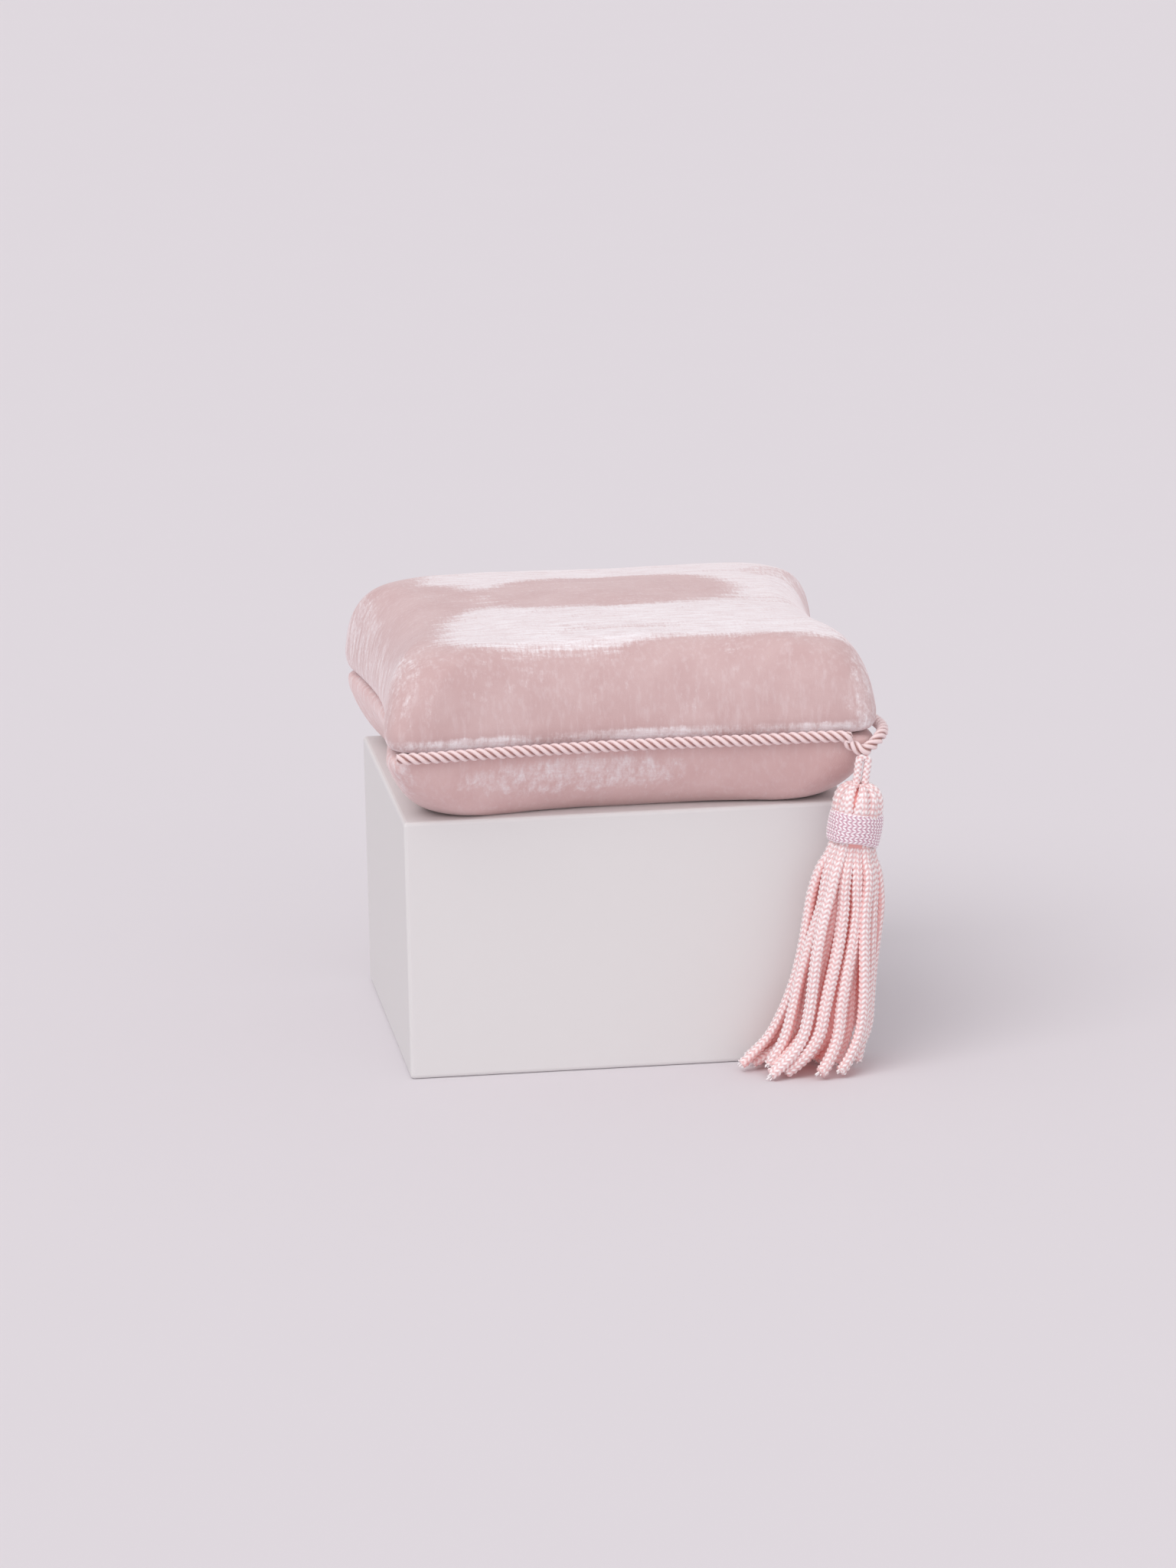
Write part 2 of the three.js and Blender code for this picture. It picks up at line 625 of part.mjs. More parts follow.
function addHalf(group, form, word) {
  const magnetInset = WADDING_OUT + MAGNET_DEPTH[word];
  addPart(group, `${word}_velvet`, cut(velvetCover(form), leafSeat()), 'velvet');
  const pocket = magnetBox(form.up, magnetInset, POCKET_CLEARANCE, 2);
  addPart(group, `${word}_wadding`, cut(waddingLayer(form), pocket), 'wadding');
  addPart(group, `${word}_board`, boardTray(form), 'board');
  addPart(group, `${word}_lining`, cut(liningTray(form), leafSeat()), 'satin');
  addPart(group, `${word}_magnet`, magnetBox(form.up, magnetInset, 0, 0), 'steel');
}

function addLeaf(group, form, word, knuckles) {
  addPart(group, `${word}_hinge_leaf`, hingeLeaf(form, knuckles), 'brass');
  for (let i = 0; i < RIVETS_PER_LEAF; i += 1) {
    const x = (i - (RIVETS_PER_LEAF - 1) / 2) * (HINGE_LENGTH / RIVETS_PER_LEAF);
    const head = new THREE.CylinderGeometry(RIVET_RADIUS, RIVET_RADIUS * 0.6, RIVET_HEIGHT, 10);
    const y = leafEnd(form) - LAYER_GAP - RIVET_HEIGHT / 2;
    head.translate(x, y, BASE_HEIGHT + form.up * LEAF_DROP * 0.6);
    addPart(group, `${word}_hinge_rivet_${i + 1}`, head, 'brass');
  }
}

addHalf(base, BASE, 'base');
addHalf(lid, LID, 'lid');
addLeaf(base, BASE, 'base', SIDE_KNUCKLES);
addLeaf(lid, LID, 'lid', CENTRE_KNUCKLES);

const pin = new THREE.CylinderGeometry(PIN_RADIUS, PIN_RADIUS, HINGE_LENGTH + 1, 12);
addPart(base, 'hinge_pin', pin.rotateZ(Math.PI / 2).translate(0, HINGE_Y, BASE_HEIGHT), 'steel');

const bed = roundedPlate(BED_HALF.x, BED_HALF.y, BED_CORNER, BED_THICKNESS).translate(0, 0, BED_FLOOR);
addPart(base, 'ring_bed_board', bed, 'board');
['front', 'middle', 'back'].forEach((word, i) => {
  const y = (i - (ROLL_COUNT - 1) / 2) * (ROLL_WIDTH + RING_SLOT);
  addPart(base, `ring_roll_${word}`, ringRoll().translate(0, y, ROLL_FLOOR), 'velvet');
});

const padTop = BASE_HEIGHT + LID_HEIGHT - LID_CROWN - LINING_IN - LAYER_GAP;
const lidPad = softPad(padHalf(BOX_WIDTH), padHalf(BOX_DEPTH), LID_PAD_THICKNESS);
addPart(lid, 'lid_pad', lidPad.translate(0, 0, padTop - LID_PAD_THICKNESS), 'satin');

addPart(base, 'trim_cord', cordAlong(trimRoute(), CORD_DIAMETER, 56), 'cord');

addPart(tassel, 'tassel_loop', tasselLoop(), 'cord');
addPart(tassel, 'tassel_head', tasselHead(), 'cord');
addPart(tassel, 'tassel_band', tasselBand(), 'cord');
let strandNumber = 0;
STRAND_ROWS.forEach((count, row) => {
  for (let column = 0; column < count; column += 1) {
    strandNumber += 1;
    const name = `tassel_strand_${String(strandNumber).padStart(2, '0')}`;
    addPart(tassel, name, cordAlong(strandRoute(column, row), STRAND_DIAMETER, 8), 'cord');
  }
});

export default ringBox;
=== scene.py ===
# A pillow-shaped ring box in blush velvet, with a twisted cord in its seam and a chainette tassel at the
# front right corner. Dimensions are in millimetres and are turned to metres as each mesh is made.
# +Z is up, the front faces -Y, and the origin is the middle of the flat underside.
import math

import bmesh
import bpy
import numpy as np
from mathutils import Matrix, Vector


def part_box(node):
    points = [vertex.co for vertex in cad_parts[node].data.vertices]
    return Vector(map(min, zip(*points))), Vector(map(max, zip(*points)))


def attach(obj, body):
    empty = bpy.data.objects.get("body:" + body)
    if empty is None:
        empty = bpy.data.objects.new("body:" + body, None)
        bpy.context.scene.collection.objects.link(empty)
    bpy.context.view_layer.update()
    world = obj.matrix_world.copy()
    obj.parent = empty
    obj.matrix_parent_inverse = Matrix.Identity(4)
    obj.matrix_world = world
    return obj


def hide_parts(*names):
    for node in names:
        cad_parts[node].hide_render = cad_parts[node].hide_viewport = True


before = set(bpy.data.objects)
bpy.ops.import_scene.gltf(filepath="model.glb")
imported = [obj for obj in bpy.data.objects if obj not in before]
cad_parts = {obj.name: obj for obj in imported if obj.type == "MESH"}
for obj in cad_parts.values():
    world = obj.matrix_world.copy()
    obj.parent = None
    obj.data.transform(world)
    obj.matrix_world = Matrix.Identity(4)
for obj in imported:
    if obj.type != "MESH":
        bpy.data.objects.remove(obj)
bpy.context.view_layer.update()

MM = 0.001

# ---- sizes of the box ---------------------------------------------------------------------------
BOX_WIDTH = 101
BOX_DEPTH = 99
SEAM_HEIGHT = 15
SEAM_GAP = 0.3
SEAM_ROUND = 3
CORNER_RADIUS = 8.6
CORNER_SPREAD = 0.3
CORNER_EAR = 1.8
SIDE_PULL = 3
SIDE_PULL_TOP = 4.6
RIDGE_LEAN = 0.25
LID = {"up": 1, "rise": 20.5, "crown": 1.5, "inset": 14, "power": 2.6, "first": 6}
BASE = {"up": -1, "rise": 15, "crown": 0, "inset": 10.3, "power": 1.55, "first": 17}

# Depth of each layer's two faces below the velvet's surface.
VELVET = 0.9
TURN_IN = 4.7
LINING_OUT = 5.7
LINING_IN = 6.3
FLANGE = 5.0
HINGE_SEAT = {"half_length": 30.6, "height": 1.2, "y": 38}

# ---- sizes of the trimmings ---------------------------------------------------------------------
CORD_DIAMETER = 2.5
CORD_OUTSIDE = 1.41  # from the seam's outline to the middle of the cord
PLY_SPACING = 1.95  # between two strands of the twist, along the cord
TASSEL_PLACE = (46.7, -51.3, 10.8)
TASSEL_LEAN = math.radians(8.5)
DIP_MIDDLE = 12.35
LOOP_STRAND = 1.5
HEAD_TOP = -5.2
BAND_TOP = -10.9
BAND_HEIGHT = 7.2
BAND_INNER = 4.6
BAND_OUTER = 5.4
STRAND_DIAMETER = 1.8
STRAND_PITCH = 2.1
STRAND_LENGTH = 46
STRAND_ROWS = (4, 5, 6, 5, 4)
STRAND_SPREAD = 0.5
STRAND_SPLAY = (1.2, 0.8)
STRAND_UNEVEN = 1.2
STITCH = 1.1  # length of one chainette stitch
GROUND = -54.0  # height of the floor that the tassel's ends meet
NECK_RADIUS = 4.1  # of the core that the head's folds and the band are wound on
HEAD_FOLDS = 18
SKIRT_SEED = 24
FRAY_SEED = 7

# ---- the stage ----------------------------------------------------------------------------------
FLOOR_SIZE = 6.0  # metres
BLOCK_SIZE = (92, 87)
BLOCK_MIDDLE = (-1, 0.5)


# ---- camera -------------------------------------------------------------------------------------
def make_camera():
    """A long lens at the front, a little to the left and above, rolled by about a degree."""
    data = bpy.data.cameras.new("camera")
    data.lens = 165.2
    data.sensor_width = 36
    data.clip_start = 0.05
    data.clip_end = 30
    camera = bpy.data.objects.new("camera", data)
    bpy.context.scene.collection.objects.link(camera)
    place = Vector((-181.5, -1465.8, 322.5)) * MM
    target = Vector((-3.8, 0, -3.3)) * MM
    roll = math.radians(-1.33)
    turn = (target - place).to_track_quat("-Z", "Y").to_matrix() @ Matrix.Rotation(roll, 3, "Z")
    camera.matrix_world = Matrix.Translation(place) @ turn.to_4x4()
    bpy.context.scene.camera = camera


# ---- lines and surfaces -------------------------------------------------------------------------
def smooth_line(points, count):
    """Evenly spread points along the smooth curve through the given ones (centripetal Catmull-Rom)."""
    p = np.asarray(points, float)
    p = np.vstack([2 * p[0] - p[1], p, 2 * p[-1] - p[-2]])
    knots = np.concatenate([[0], np.cumsum(np.linalg.norm(np.diff(p, axis=0), axis=1) ** 0.5)])
    t = np.linspace(knots[1], knots[-2], 8 * count)
    i = np.clip(np.searchsorted(knots, t, side="right") - 1, 1, len(knots) - 3)

    def between(a, b, low, high):
        share = ((t - knots[low]) / (knots[high] - knots[low]))[:, None]
        return a * (1 - share) + b * share

    a1 = between(p[i - 1], p[i], i - 1, i)
    a2 = between(p[i], p[i + 1], i, i + 1)
    a3 = between(p[i + 1], p[i + 2], i + 1, i + 2)
    b1 = between(a1, a2, i - 1, i + 1)
    b2 = between(a2, a3, i, i + 2)
    fine = between(b1, b2, i, i + 1)
    along = np.concatenate([[0], np.cumsum(np.linalg.norm(np.diff(fine, axis=0), axis=1))])
    at = np.linspace(0, along[-1], count)
    return np.stack([np.interp(at, along, fine[:, k]) for k in range(fine.shape[1])], axis=1)


def new_object(name, mesh):
    """A new object of a mesh, at the origin and unturned."""
    made = bpy.data.objects.new(name, mesh)
    bpy.context.scene.collection.objects.link(made)
    return made


def surface(name, across, rows, lay):
    """A grid with its UV map, laid where lay(u, row) says: u runs from 0 to 1 across, row from 0 up.
    lay returns the points in millimetres and a dict of point attributes. Doubles are merged."""
    bm = bmesh.new()
    bm.loops.layers.uv.new("UVMap")
    bmesh.ops.create_grid(bm, x_segments=across, y_segments=rows - 1, size=0.5, calc_uvs=True)
    mesh = bpy.data.meshes.new(name)
    bm.to_mesh(mesh)
    bm.clear()
    flat = np.zeros(len(mesh.vertices) * 3, np.float32)
    mesh.vertices.foreach_get("co", flat)
    grid = flat.reshape(-1, 3).astype(float) + 0.5
    points, fields = lay(grid[:, 0], np.round(grid[:, 1] * (rows - 1)).astype(int))
    mesh.vertices.foreach_set("co", (points * MM).astype(np.float32).ravel())
    for field, values in fields.items():
        attribute = mesh.attributes.new(field, "FLOAT", "POINT")
        attribute.data.foreach_set("value", values.astype(np.float32))
    bm.from_mesh(mesh)
    bmesh.ops.remove_doubles(bm, verts=bm.verts, dist=2e-6)
    bmesh.ops.recalc_face_normals(bm, faces=bm.faces)
    bm.to_mesh(mesh)
    bm.free()
    mesh.shade_smooth()
    return mesh


def joined(name, meshes):
    """One mesh of several."""
    bm = bmesh.new()
    for mesh in meshes:
        bm.from_mesh(mesh)
    whole = bpy.data.meshes.new(name)
    bm.to_mesh(whole)
    bm.free()
    whole.shade_smooth()
    return whole


def finish_piece(piece, body, slot, material, *nodes):
    """Dresses a piece, puts it on its body and hides the CAD nodes it stands for."""
    piece.data.materials.append(material)
    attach(piece, body)
    if nodes:
        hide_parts(*nodes)


# ---- cords --------------------------------------------------------------------------------------
def frames_along(path, side):
    """A direction along the path and two across it at each point, turning as little as possible."""
    along = np.gradient(path, axis=0)
    along /= np.linalg.norm(along, axis=1)[:, None]
    across = np.zeros_like(path)
    before = np.array(side, float)
    for i in range(len(path)):
        turned = before - along[i] * (before @ along[i])
        across[i] = turned / np.linalg.norm(turned)
        before = across[i]
    return along, across, np.cross(along, across)


def tube(name, path, sides, shape, side=(1, 0.1, 0.2), inward=None, buried=0.0):
    """A closed tube along a path. shape(angle, distance) gives its radius and its lift, which is 0 in the
    hollows between threads and 1 on top of them. inward points to the middle of the bundle at each point,
    and marks the flanks that lie against other strands; buried is 1 for a strand in the very middle."""
    along, right, up = frames_along(path, side)
    far = np.concatenate([[0], np.cumsum(np.linalg.norm(np.diff(path, axis=0), axis=1))])
    count = len(path)

    def lay(u, row):
        ring = np.clip(row - 1, 0, count - 1)
        angle = 2 * math.pi * u
        radius, lift = shape(angle, far[ring])
        radius = np.where((row == 0) | (row == count + 1), 0, radius)
        out = right[ring] * np.cos(angle)[:, None] + up[ring] * np.sin(angle)[:, None]
        # flank marks where the rayon paints its glow: painted glow on the flanks that lie against other
        # strands, and all over a buried strand.
        flank = 0 * u
        if inward is not None:
            flank = np.clip(0.62 + (out * inward[ring]).sum(axis=1), 0, 1) ** 2
            flank = np.maximum(flank, buried)
        return path[ring] + out * radius[:, None], {"lift": lift, "flank": flank}

    return surface(name, sides, count + 2, lay)


def three_ply(radius):
    """Section of a cord of three strands twisted to the right."""
    ply = 0.464 * radius
    middle = 0.536 * radius

    def shape(angle, far):
        turned = angle - 2 * math.pi * far / (3 * PLY_SPACING)
        off = (turned * 3 / (2 * math.pi)) % 1 - 0.5
        local = off * 2 * math.pi / 3
        reach = middle * np.cos(local) + np.sqrt(np.maximum(ply**2 - (middle * np.sin(local)) ** 2, 0))
        reach = np.maximum(reach, 0.5 * radius)
        lift = (reach / radius - 0.5) * 2
        thread = 0.02 * radius * np.sin(2 * math.pi * (far / 0.42 + 2.2 * local)) * lift
        return reach + thread, lift

    return shape


def chainette(radius, turn=0.0, oval=1.0, squeeze=None):
    """Section of a knitted cord, pressed a little oval: four wales of V-shaped stitches."""

    def shape(angle, far):
        wale = (angle / (2 * math.pi) * 4 + 0.5 + turn + 0.004 * far) % 1
        arm = np.abs(wale - 0.5) * 2
        yarn = 0.5 + 0.5 * np.cos(2 * math.pi * (far / STITCH + 0.8 * arm))
        arch = np.sin(math.pi * np.clip(arm, 0.04, 0.96)) ** 1.2
        lift = yarn * arch
        flat = 1 / np.sqrt((np.cos(angle) / oval) ** 2 + (np.sin(angle) * oval) ** 2)
        size = radius * flat * (0.85 + 0.26 * lift)
        if squeeze is not None:
            size = size * squeeze(far)
        return size, lift

    return shape


def hanging(points):
    """Points of the tassel's own frame, whose origin is the top of its loop, put where the tassel leans."""
    p = np.asarray(points, float)
    c, s = math.cos(TASSEL_LEAN), math.sin(TASSEL_LEAN)
    turned = np.stack([p[:, 0] * c + p[:, 2] * s, p[:, 1], p[:, 2] * c - p[:, 0] * s], axis=1)
    return turned + np.array(TASSEL_PLACE)


def strand_route(column, row):
    """One strand's points: down from the neck, spreading, and splayed where it meets the ground."""
    x = (column - (STRAND_ROWS[row] - 1) / 2) * STRAND_PITCH
    y = (row - (len(STRAND_ROWS) - 1) / 2) * STRAND_PITCH * math.cos(math.pi / 6)
    splay_x = STRAND_SPLAY[0] if x < 0 else 0
    slant = x * (1 + STRAND_SPREAD + splay_x) * math.tan(TASSEL_LEAN)
    shorten = STRAND_UNEVEN * abs(math.sin(3.1 * column + 1.7 * row))
    share = np.linspace(0, 1, 9)
    spread = 1 + STRAND_SPREAD * share
    top = BAND_TOP - BAND_HEIGHT - SEAM_GAP
    z = top - share * (STRAND_LENGTH - shorten - slant)
    return np.stack([x * (spread + splay_x * share**6), y * (spread + STRAND_SPLAY[1] * share**5), z], 1)


def strand_line(column, row, draw):
    """A strand's centre line: its route with a slow bend of its own, its cut end lying on the ground."""
    line = smooth_line(strand_route(column, row), 380)
    share = np.linspace(0, 1, len(line))
    way = draw.uniform(0, 2 * math.pi, 2)
    bend = draw.uniform(0.2, 0.6)
    loose = np.clip(share / 0.25, 0, 1) ** 2
    line[:, 0] += bend * loose * np.sin(2.2 * math.pi * share + way[0])
    line[:, 1] += 0.7 * bend * loose * np.sin(1.8 * math.pi * share + way[1])
    pinch = 1 - 0.34 * np.exp(-((share / 0.07) ** 2))
    belly = 1 + 0.24 * np.sin(math.pi * share)
    line[:, :2] *= (pinch * belly)[:, None]
    line[:, 2] += 2.4 * np.clip(1 - share / 0.06, 0, 1)
    curl = np.clip((share - 0.78) / 0.22, 0, 1) ** 2 * draw.uniform(0.35, 1) ** 2
    heading = draw.normal(math.pi * 1.1, 0.6)
    line = hanging(line)
    line[:, 0] += 8 * curl * math.cos(heading)
    line[:, 1] += 5 * curl * math.sin(heading)
    above = line[:, 2] - (GROUND + 1.15)
    line[:, 2] = GROUND + 1.15 + 0.5 * (above + np.sqrt(above**2 + 0.6))
    return line


def inward_along(path):
    """Level directions from a path's points to the tassel's axis, short near the axis."""
    top = np.array(TASSEL_PLACE)
    foot = hanging([(0, 0, -60)])[0]
    share = (path[:, 2] - top[2]) / (foot[2] - top[2])
    to_axis = top + share[:, None] * (foot - top) - path
    to_axis[:, 2] = 0
    return to_axis / np.maximum(np.linalg.norm(to_axis, axis=1), 2.5)[:, None]


def make_skirt(material):
    """The skirt's strands of chainette, each a free cord with a cut end, and their short loose threads."""
    number = 0
    ends = []
    draw = np.random.default_rng(SKIRT_SEED)
    for row, count in enumerate(STRAND_ROWS):
        for column in range(count):
            number += 1
            path = strand_line(column, row, draw)
            x, y, _ = strand_route(column, row)[0]
            side = (-y, x, 0) if math.hypot(x, y) > 0.1 else (1, 0, 0)
            shape = chainette(1.32 * STRAND_DIAMETER / 2, draw.uniform(-0.12, 0.12), 1.14)
            name = f"chainette_strand_{number:02d}"
            buried = min(max(1.5 - 2 * math.hypot(x, y) / BAND_OUTER, 0), 1)
            strand = new_object(name, tube(name, path, 24, shape, side, inward_along(path), buried))
            finish_piece(strand, "tassel", "chainette", material, f"tassel_strand_{number:02d}")
            ends.append((path[-1], path[-1] - path[-4]))
    make_fray(ends, material)


def make_fray(ends, material):
    """A few loose threads at the cut end of each strand."""
    threads = []
    draw = np.random.default_rng(FRAY_SEED)
    for tip, direction in ends:
        down = direction / np.linalg.norm(direction)
        for _ in range(9):
            aside = draw.normal(0, 0.5, 3)
            start = tip + 0.6 * aside - down * 0.6
            bend = down * 0.9 + 0.4 * aside
            reach = draw.uniform(0.5, 1.0)
            line = np.array([start, start + bend * reach * 0.5, start + bend * reach])
            line[:, 2] = np.maximum(line[:, 2], GROUND + 0.2)
            path = smooth_line(line, 5)
            # The loose threads take a high lift, so the rayon paints them its highlight colour.
            threads.append(tube("thread", path, 5, lambda angle, far: (0.17 + 0 * angle, 0.8 + 0 * angle)))
    fray = new_object("strand_ends", joined("strand_ends", threads))
    finish_piece(fray, "tassel", "chainette", material)


def make_loop(material):
    """Two strands of chainette over the cord, down into the head."""
    half = LOOP_STRAND / 2 + 0.15
    top = 0.1  # the bend sits in the cord's twist, sewn to it
    foot = HEAD_TOP - 0.5
    route = [
        (-half, 0, foot),
        (-half, 0, (foot + top) / 2),
        (-half * 0.95, 0, top - half * 0.7),
        (-half * 0.5, 0, top - 0.1),
        (half * 0.5, 0, top - 0.1),
        (half * 0.95, 0, top - half * 0.7),
        (half, 0, (foot + top) / 2),
        (half, 0, foot),
    ]
    path = hanging(smooth_line(route, 110))
    mesh = tube("chainette_loop", path, 16, chainette(1.12 * LOOP_STRAND / 2, 0.1))
    loop = new_object("chainette_loop", mesh)
    finish_piece(loop, "tassel_loop", "chainette", material, "tassel_loop")


def make_head(material):
    """Strands folded over the neck: each rises from the band, rounds the shoulder and dives in the middle."""
    strands = []
    for i in range(HEAD_FOLDS):
        angle = 2 * math.pi * (i + 0.15 * math.sin(5 * i)) / HEAD_FOLDS
        lean = 0.25 * math.sin(3 * i)
        rise = 0.35 * math.sin(2.3 * i + 1)
        profile = [(4.15, BAND_TOP - 1.2), (4.3, BAND_TOP + 0.9), (4.0, BAND_TOP + 2.7 + rise)]
        profile += [(3.2, HEAD_TOP - 1.6 + rise), (2.0, HEAD_TOP - 0.75 + rise / 2), (0.9, HEAD_TOP - 0.7)]
        route = []
        for step, (radius, z) in enumerate(profile):
            at = angle + lean * step / 5
            route.append((radius * math.cos(at), radius * math.sin(at), z))
        line = smooth_line(route, 64)
        tight = np.clip(np.hypot(line[:, 0], line[:, 1]) / 4.3, 0.35, 1) ** 0.6
        steps = np.concatenate([[0], np.cumsum(np.linalg.norm(np.diff(line, axis=0), axis=1))])
        shape = chainette(1.08, 0.3 * i, 1.05, lambda far, s=steps, t=tight: np.interp(far, s, t))
        placed = hanging(line)
        inward = inward_along(placed)
        strands.append(tube("fold", placed, 16, shape, (math.sin(angle), -math.cos(angle), 0), inward))
    foot = BAND_TOP - BAND_HEIGHT
    core = [(0, HEAD_TOP - 1.2), (2.2, HEAD_TOP - 1.6), (3.9, BAND_TOP + 2.4), (NECK_RADIUS, BAND_TOP)]
    core += [(NECK_RADIUS, BAND_TOP - 1.5), (3.9, foot), (0, foot)]

    def lay(u, row):
        radius = np.array([c[0] for c in core])[row]
        z = np.array([c[1] for c in core])[row]
        angle = 2 * math.pi * u
        points = np.stack([radius * np.cos(angle), radius * np.sin(angle), z], axis=1)
        # The core takes the flanks' painted glow and the hollows' painted shade all over, where it shows
        # between the folds.
        return hanging(points), {"lift": 0 * u, "flank": 1 + 0 * u}

    strands.append(surface("core", 24, len(core), lay))
    head = new_object("folded_head", joined("folded_head", strands))
    finish_piece(head, "tassel", "chainette", material, "tassel_head")


def make_band(material):
    """A knitted sleeve round the neck. Its lower edge arches over the front strands."""
    wall = []
    for share in np.linspace(0, 1, 62):
        belly = 0.15 * math.sin(math.pi * share)
        radius = BAND_OUTER + belly - 0.3 * abs(2 * share - 1) ** 8
        wall.append((radius, BAND_TOP - 0.2 - share * (BAND_HEIGHT - 0.3), 1))
    inner = [(BAND_INNER, BAND_TOP - BAND_HEIGHT + 0.1, 0), (BAND_INNER, BAND_TOP - 0.2, 0)]
    line = np.array(wall + inner + wall[:1])

    def lay(u, row):
        radius, z, relief = line[row].T
        angle = 2 * math.pi * u
        course = angle / (2 * math.pi) * 34 + 0.2 * np.sin(z)
        hem = np.clip(np.abs(2 * (BAND_TOP - z) / BAND_HEIGHT - 1) * 8 - 7, 0, 1)
        wale = ((BAND_TOP - z) / 1.25 + 0.12 * np.sin(4 * angle)) % 1
        arm = np.abs(wale - 0.5) * 2
        yarn = 0.5 + 0.5 * np.cos(2 * math.pi * (course - 0.7 * arm))
        lift = yarn * np.sin(math.pi * np.clip(arm, 0.08, 0.92)) ** 0.9 * relief
        lift = lift * (1 - hem) + 0.55 * hem
        wave = 0.14 * np.sin(3 * angle + 1) + 0.1 * np.sin(5 * angle + 2 + z / 2)
        radius = radius + 0.26 * (lift - 0.5) * relief + wave * relief
        low = (BAND_TOP - z) / BAND_HEIGHT
        arch = 0.9 * np.maximum(np.cos(angle + 1.45), 0) ** 2 * low**2 - 0.35 * np.cos(angle) * low
        points = np.stack([radius * np.cos(angle), radius * np.sin(angle), z + arch], axis=1)
        return hanging(points), {"lift": lift, "flank": 0 * u}

    band = new_object("neck_band", surface("neck_band", 238, len(line), lay))
    finish_piece(band, "tassel", "band_thread", material, "tassel_band")


# ---- the padded form ----------------------------------------------------------------------------
def flattening(inset):
    """How much of the corners' ears and the sides' dip is left, going in to the middle of the crown."""
    return np.minimum(1, (min(BOX_WIDTH, BOX_DEPTH) - 2 * inset) / BOX_DEPTH)


def outline(inset, share, u):
    """Points of the plan outline, drawn in by inset. It starts at the right of the back right corner and
    turns to the left; each quarter is a corner's arc and then a side that dips in, but for the back."""
    half_x = BOX_WIDTH / 2 - inset
    half_y = BOX_DEPTH / 2 - inset
    radius = np.minimum(CORNER_RADIUS + CORNER_SPREAD * inset, 0.8 * np.minimum(half_x, half_y))
    fade = flattening(inset)
    ear = CORNER_EAR * (1 - share) * fade
    pull = (SIDE_PULL + (SIDE_PULL_TOP - SIDE_PULL) * share) * fade
    quarter = (u * 4) % 4
    k = np.floor(quarter).astype(int)
    arc_share = 0.36
    t = quarter - k
    corner = np.minimum(t / arc_share, 1)
    side = np.maximum(t - arc_share, 0) / (1 - arc_share)
    sx = np.array([1, -1, -1, 1])[k]
    sy = np.array([1, 1, -1, -1])[k]
    start = k * math.pi / 2
    angle = start + corner * math.pi / 2
    x = sx * (half_x - radius) + radius * np.cos(angle)
    y = sy * (half_y - radius) + radius * np.sin(angle)
    bulge = ear * np.sin(math.pi * corner) ** 2 * math.sqrt(0.5)
    x = x + sx * bulge
    y = y + np.where(sy < 0, -bulge, 0)
    run_x = np.array([-2, 0, 2, 0])[k] * (half_x - radius)
    run_y = np.array([0, -2, 0, 2])[k] * (half_y - radius)
    dip = np.where(k == 0, 0, pull) * np.sin(math.pi * side)
    return x + run_x * side - dip * np.cos(angle), y + run_y * side - dip * np.sin(angle)


def wall_line(form, depth):
    """Stations (inset, height) of the section curve moved in by depth, from the ridge to the seam."""
    angle = np.radians(np.linspace(90, form["first"], 13))
    power = 2 / form["power"]

    def point(a):
        side = np.maximum(np.cos(a), 0) ** power
        return np.stack([form["inset"] * (1 - side), form["rise"] * np.maximum(np.sin(a), 0) ** power], 1)

    here = point(angle)
    step = 0.01
    run = point(np.minimum(angle + step, math.pi / 2)) - point(angle - step)
    run /= np.linalg.norm(run, axis=1)[:, None]
    normal = np.stack([run[:, 1], -run[:, 0]], axis=1)
    normal[0] = (RIDGE_LEAN, -1)
    return here + depth * normal


def crown_line(form, depth):
    """Stations of the crown from its middle outwards."""
    share = np.array([0, 0.15, 0.3, 0.45, 0.6, 0.75, 0.88])
    reach = BOX_DEPTH / 2 - form["inset"]
    height = form["rise"] + form["crown"] * (1 - share**1.5) - depth
    return np.stack([form["inset"] + (1 - share) * reach, height], axis=1)


def seam_arc(depth):
    """Stations of the round edge at the seam, moved in by depth."""
    angle = np.radians([50, 25, 0])
    radius = SEAM_ROUND - depth
    return np.stack([SEAM_ROUND - radius * np.sin(angle), SEAM_ROUND - radius * np.cos(angle)], axis=1)


def whole_line(form, depth, rounded, count):
    """The section from the middle of the crown to the seam, as evenly spread stations."""
    parts = [crown_line(form, depth), wall_line(form, depth)]
    if rounded:
        parts.append(seam_arc(depth))
    return smooth_line(np.vstack(parts), count)


def softness(x, y, height, form):
    """Slow unevenness of padding under cloth, in millimetres, fading towards the seam."""
    wave = 0.16 * np.sin(x / 6.1 + 1.1) * np.sin(y / 7.3 + 0.5) + 0.14 * np.sin(x / 11.3 - y / 14.9)
    ripple = 0.05 * np.sin(x / 2.3 + y / 5.2) * np.sin(height / 2.9 + x / 9)
    return (wave + ripple) * np.clip(height / 5, 0, 1)


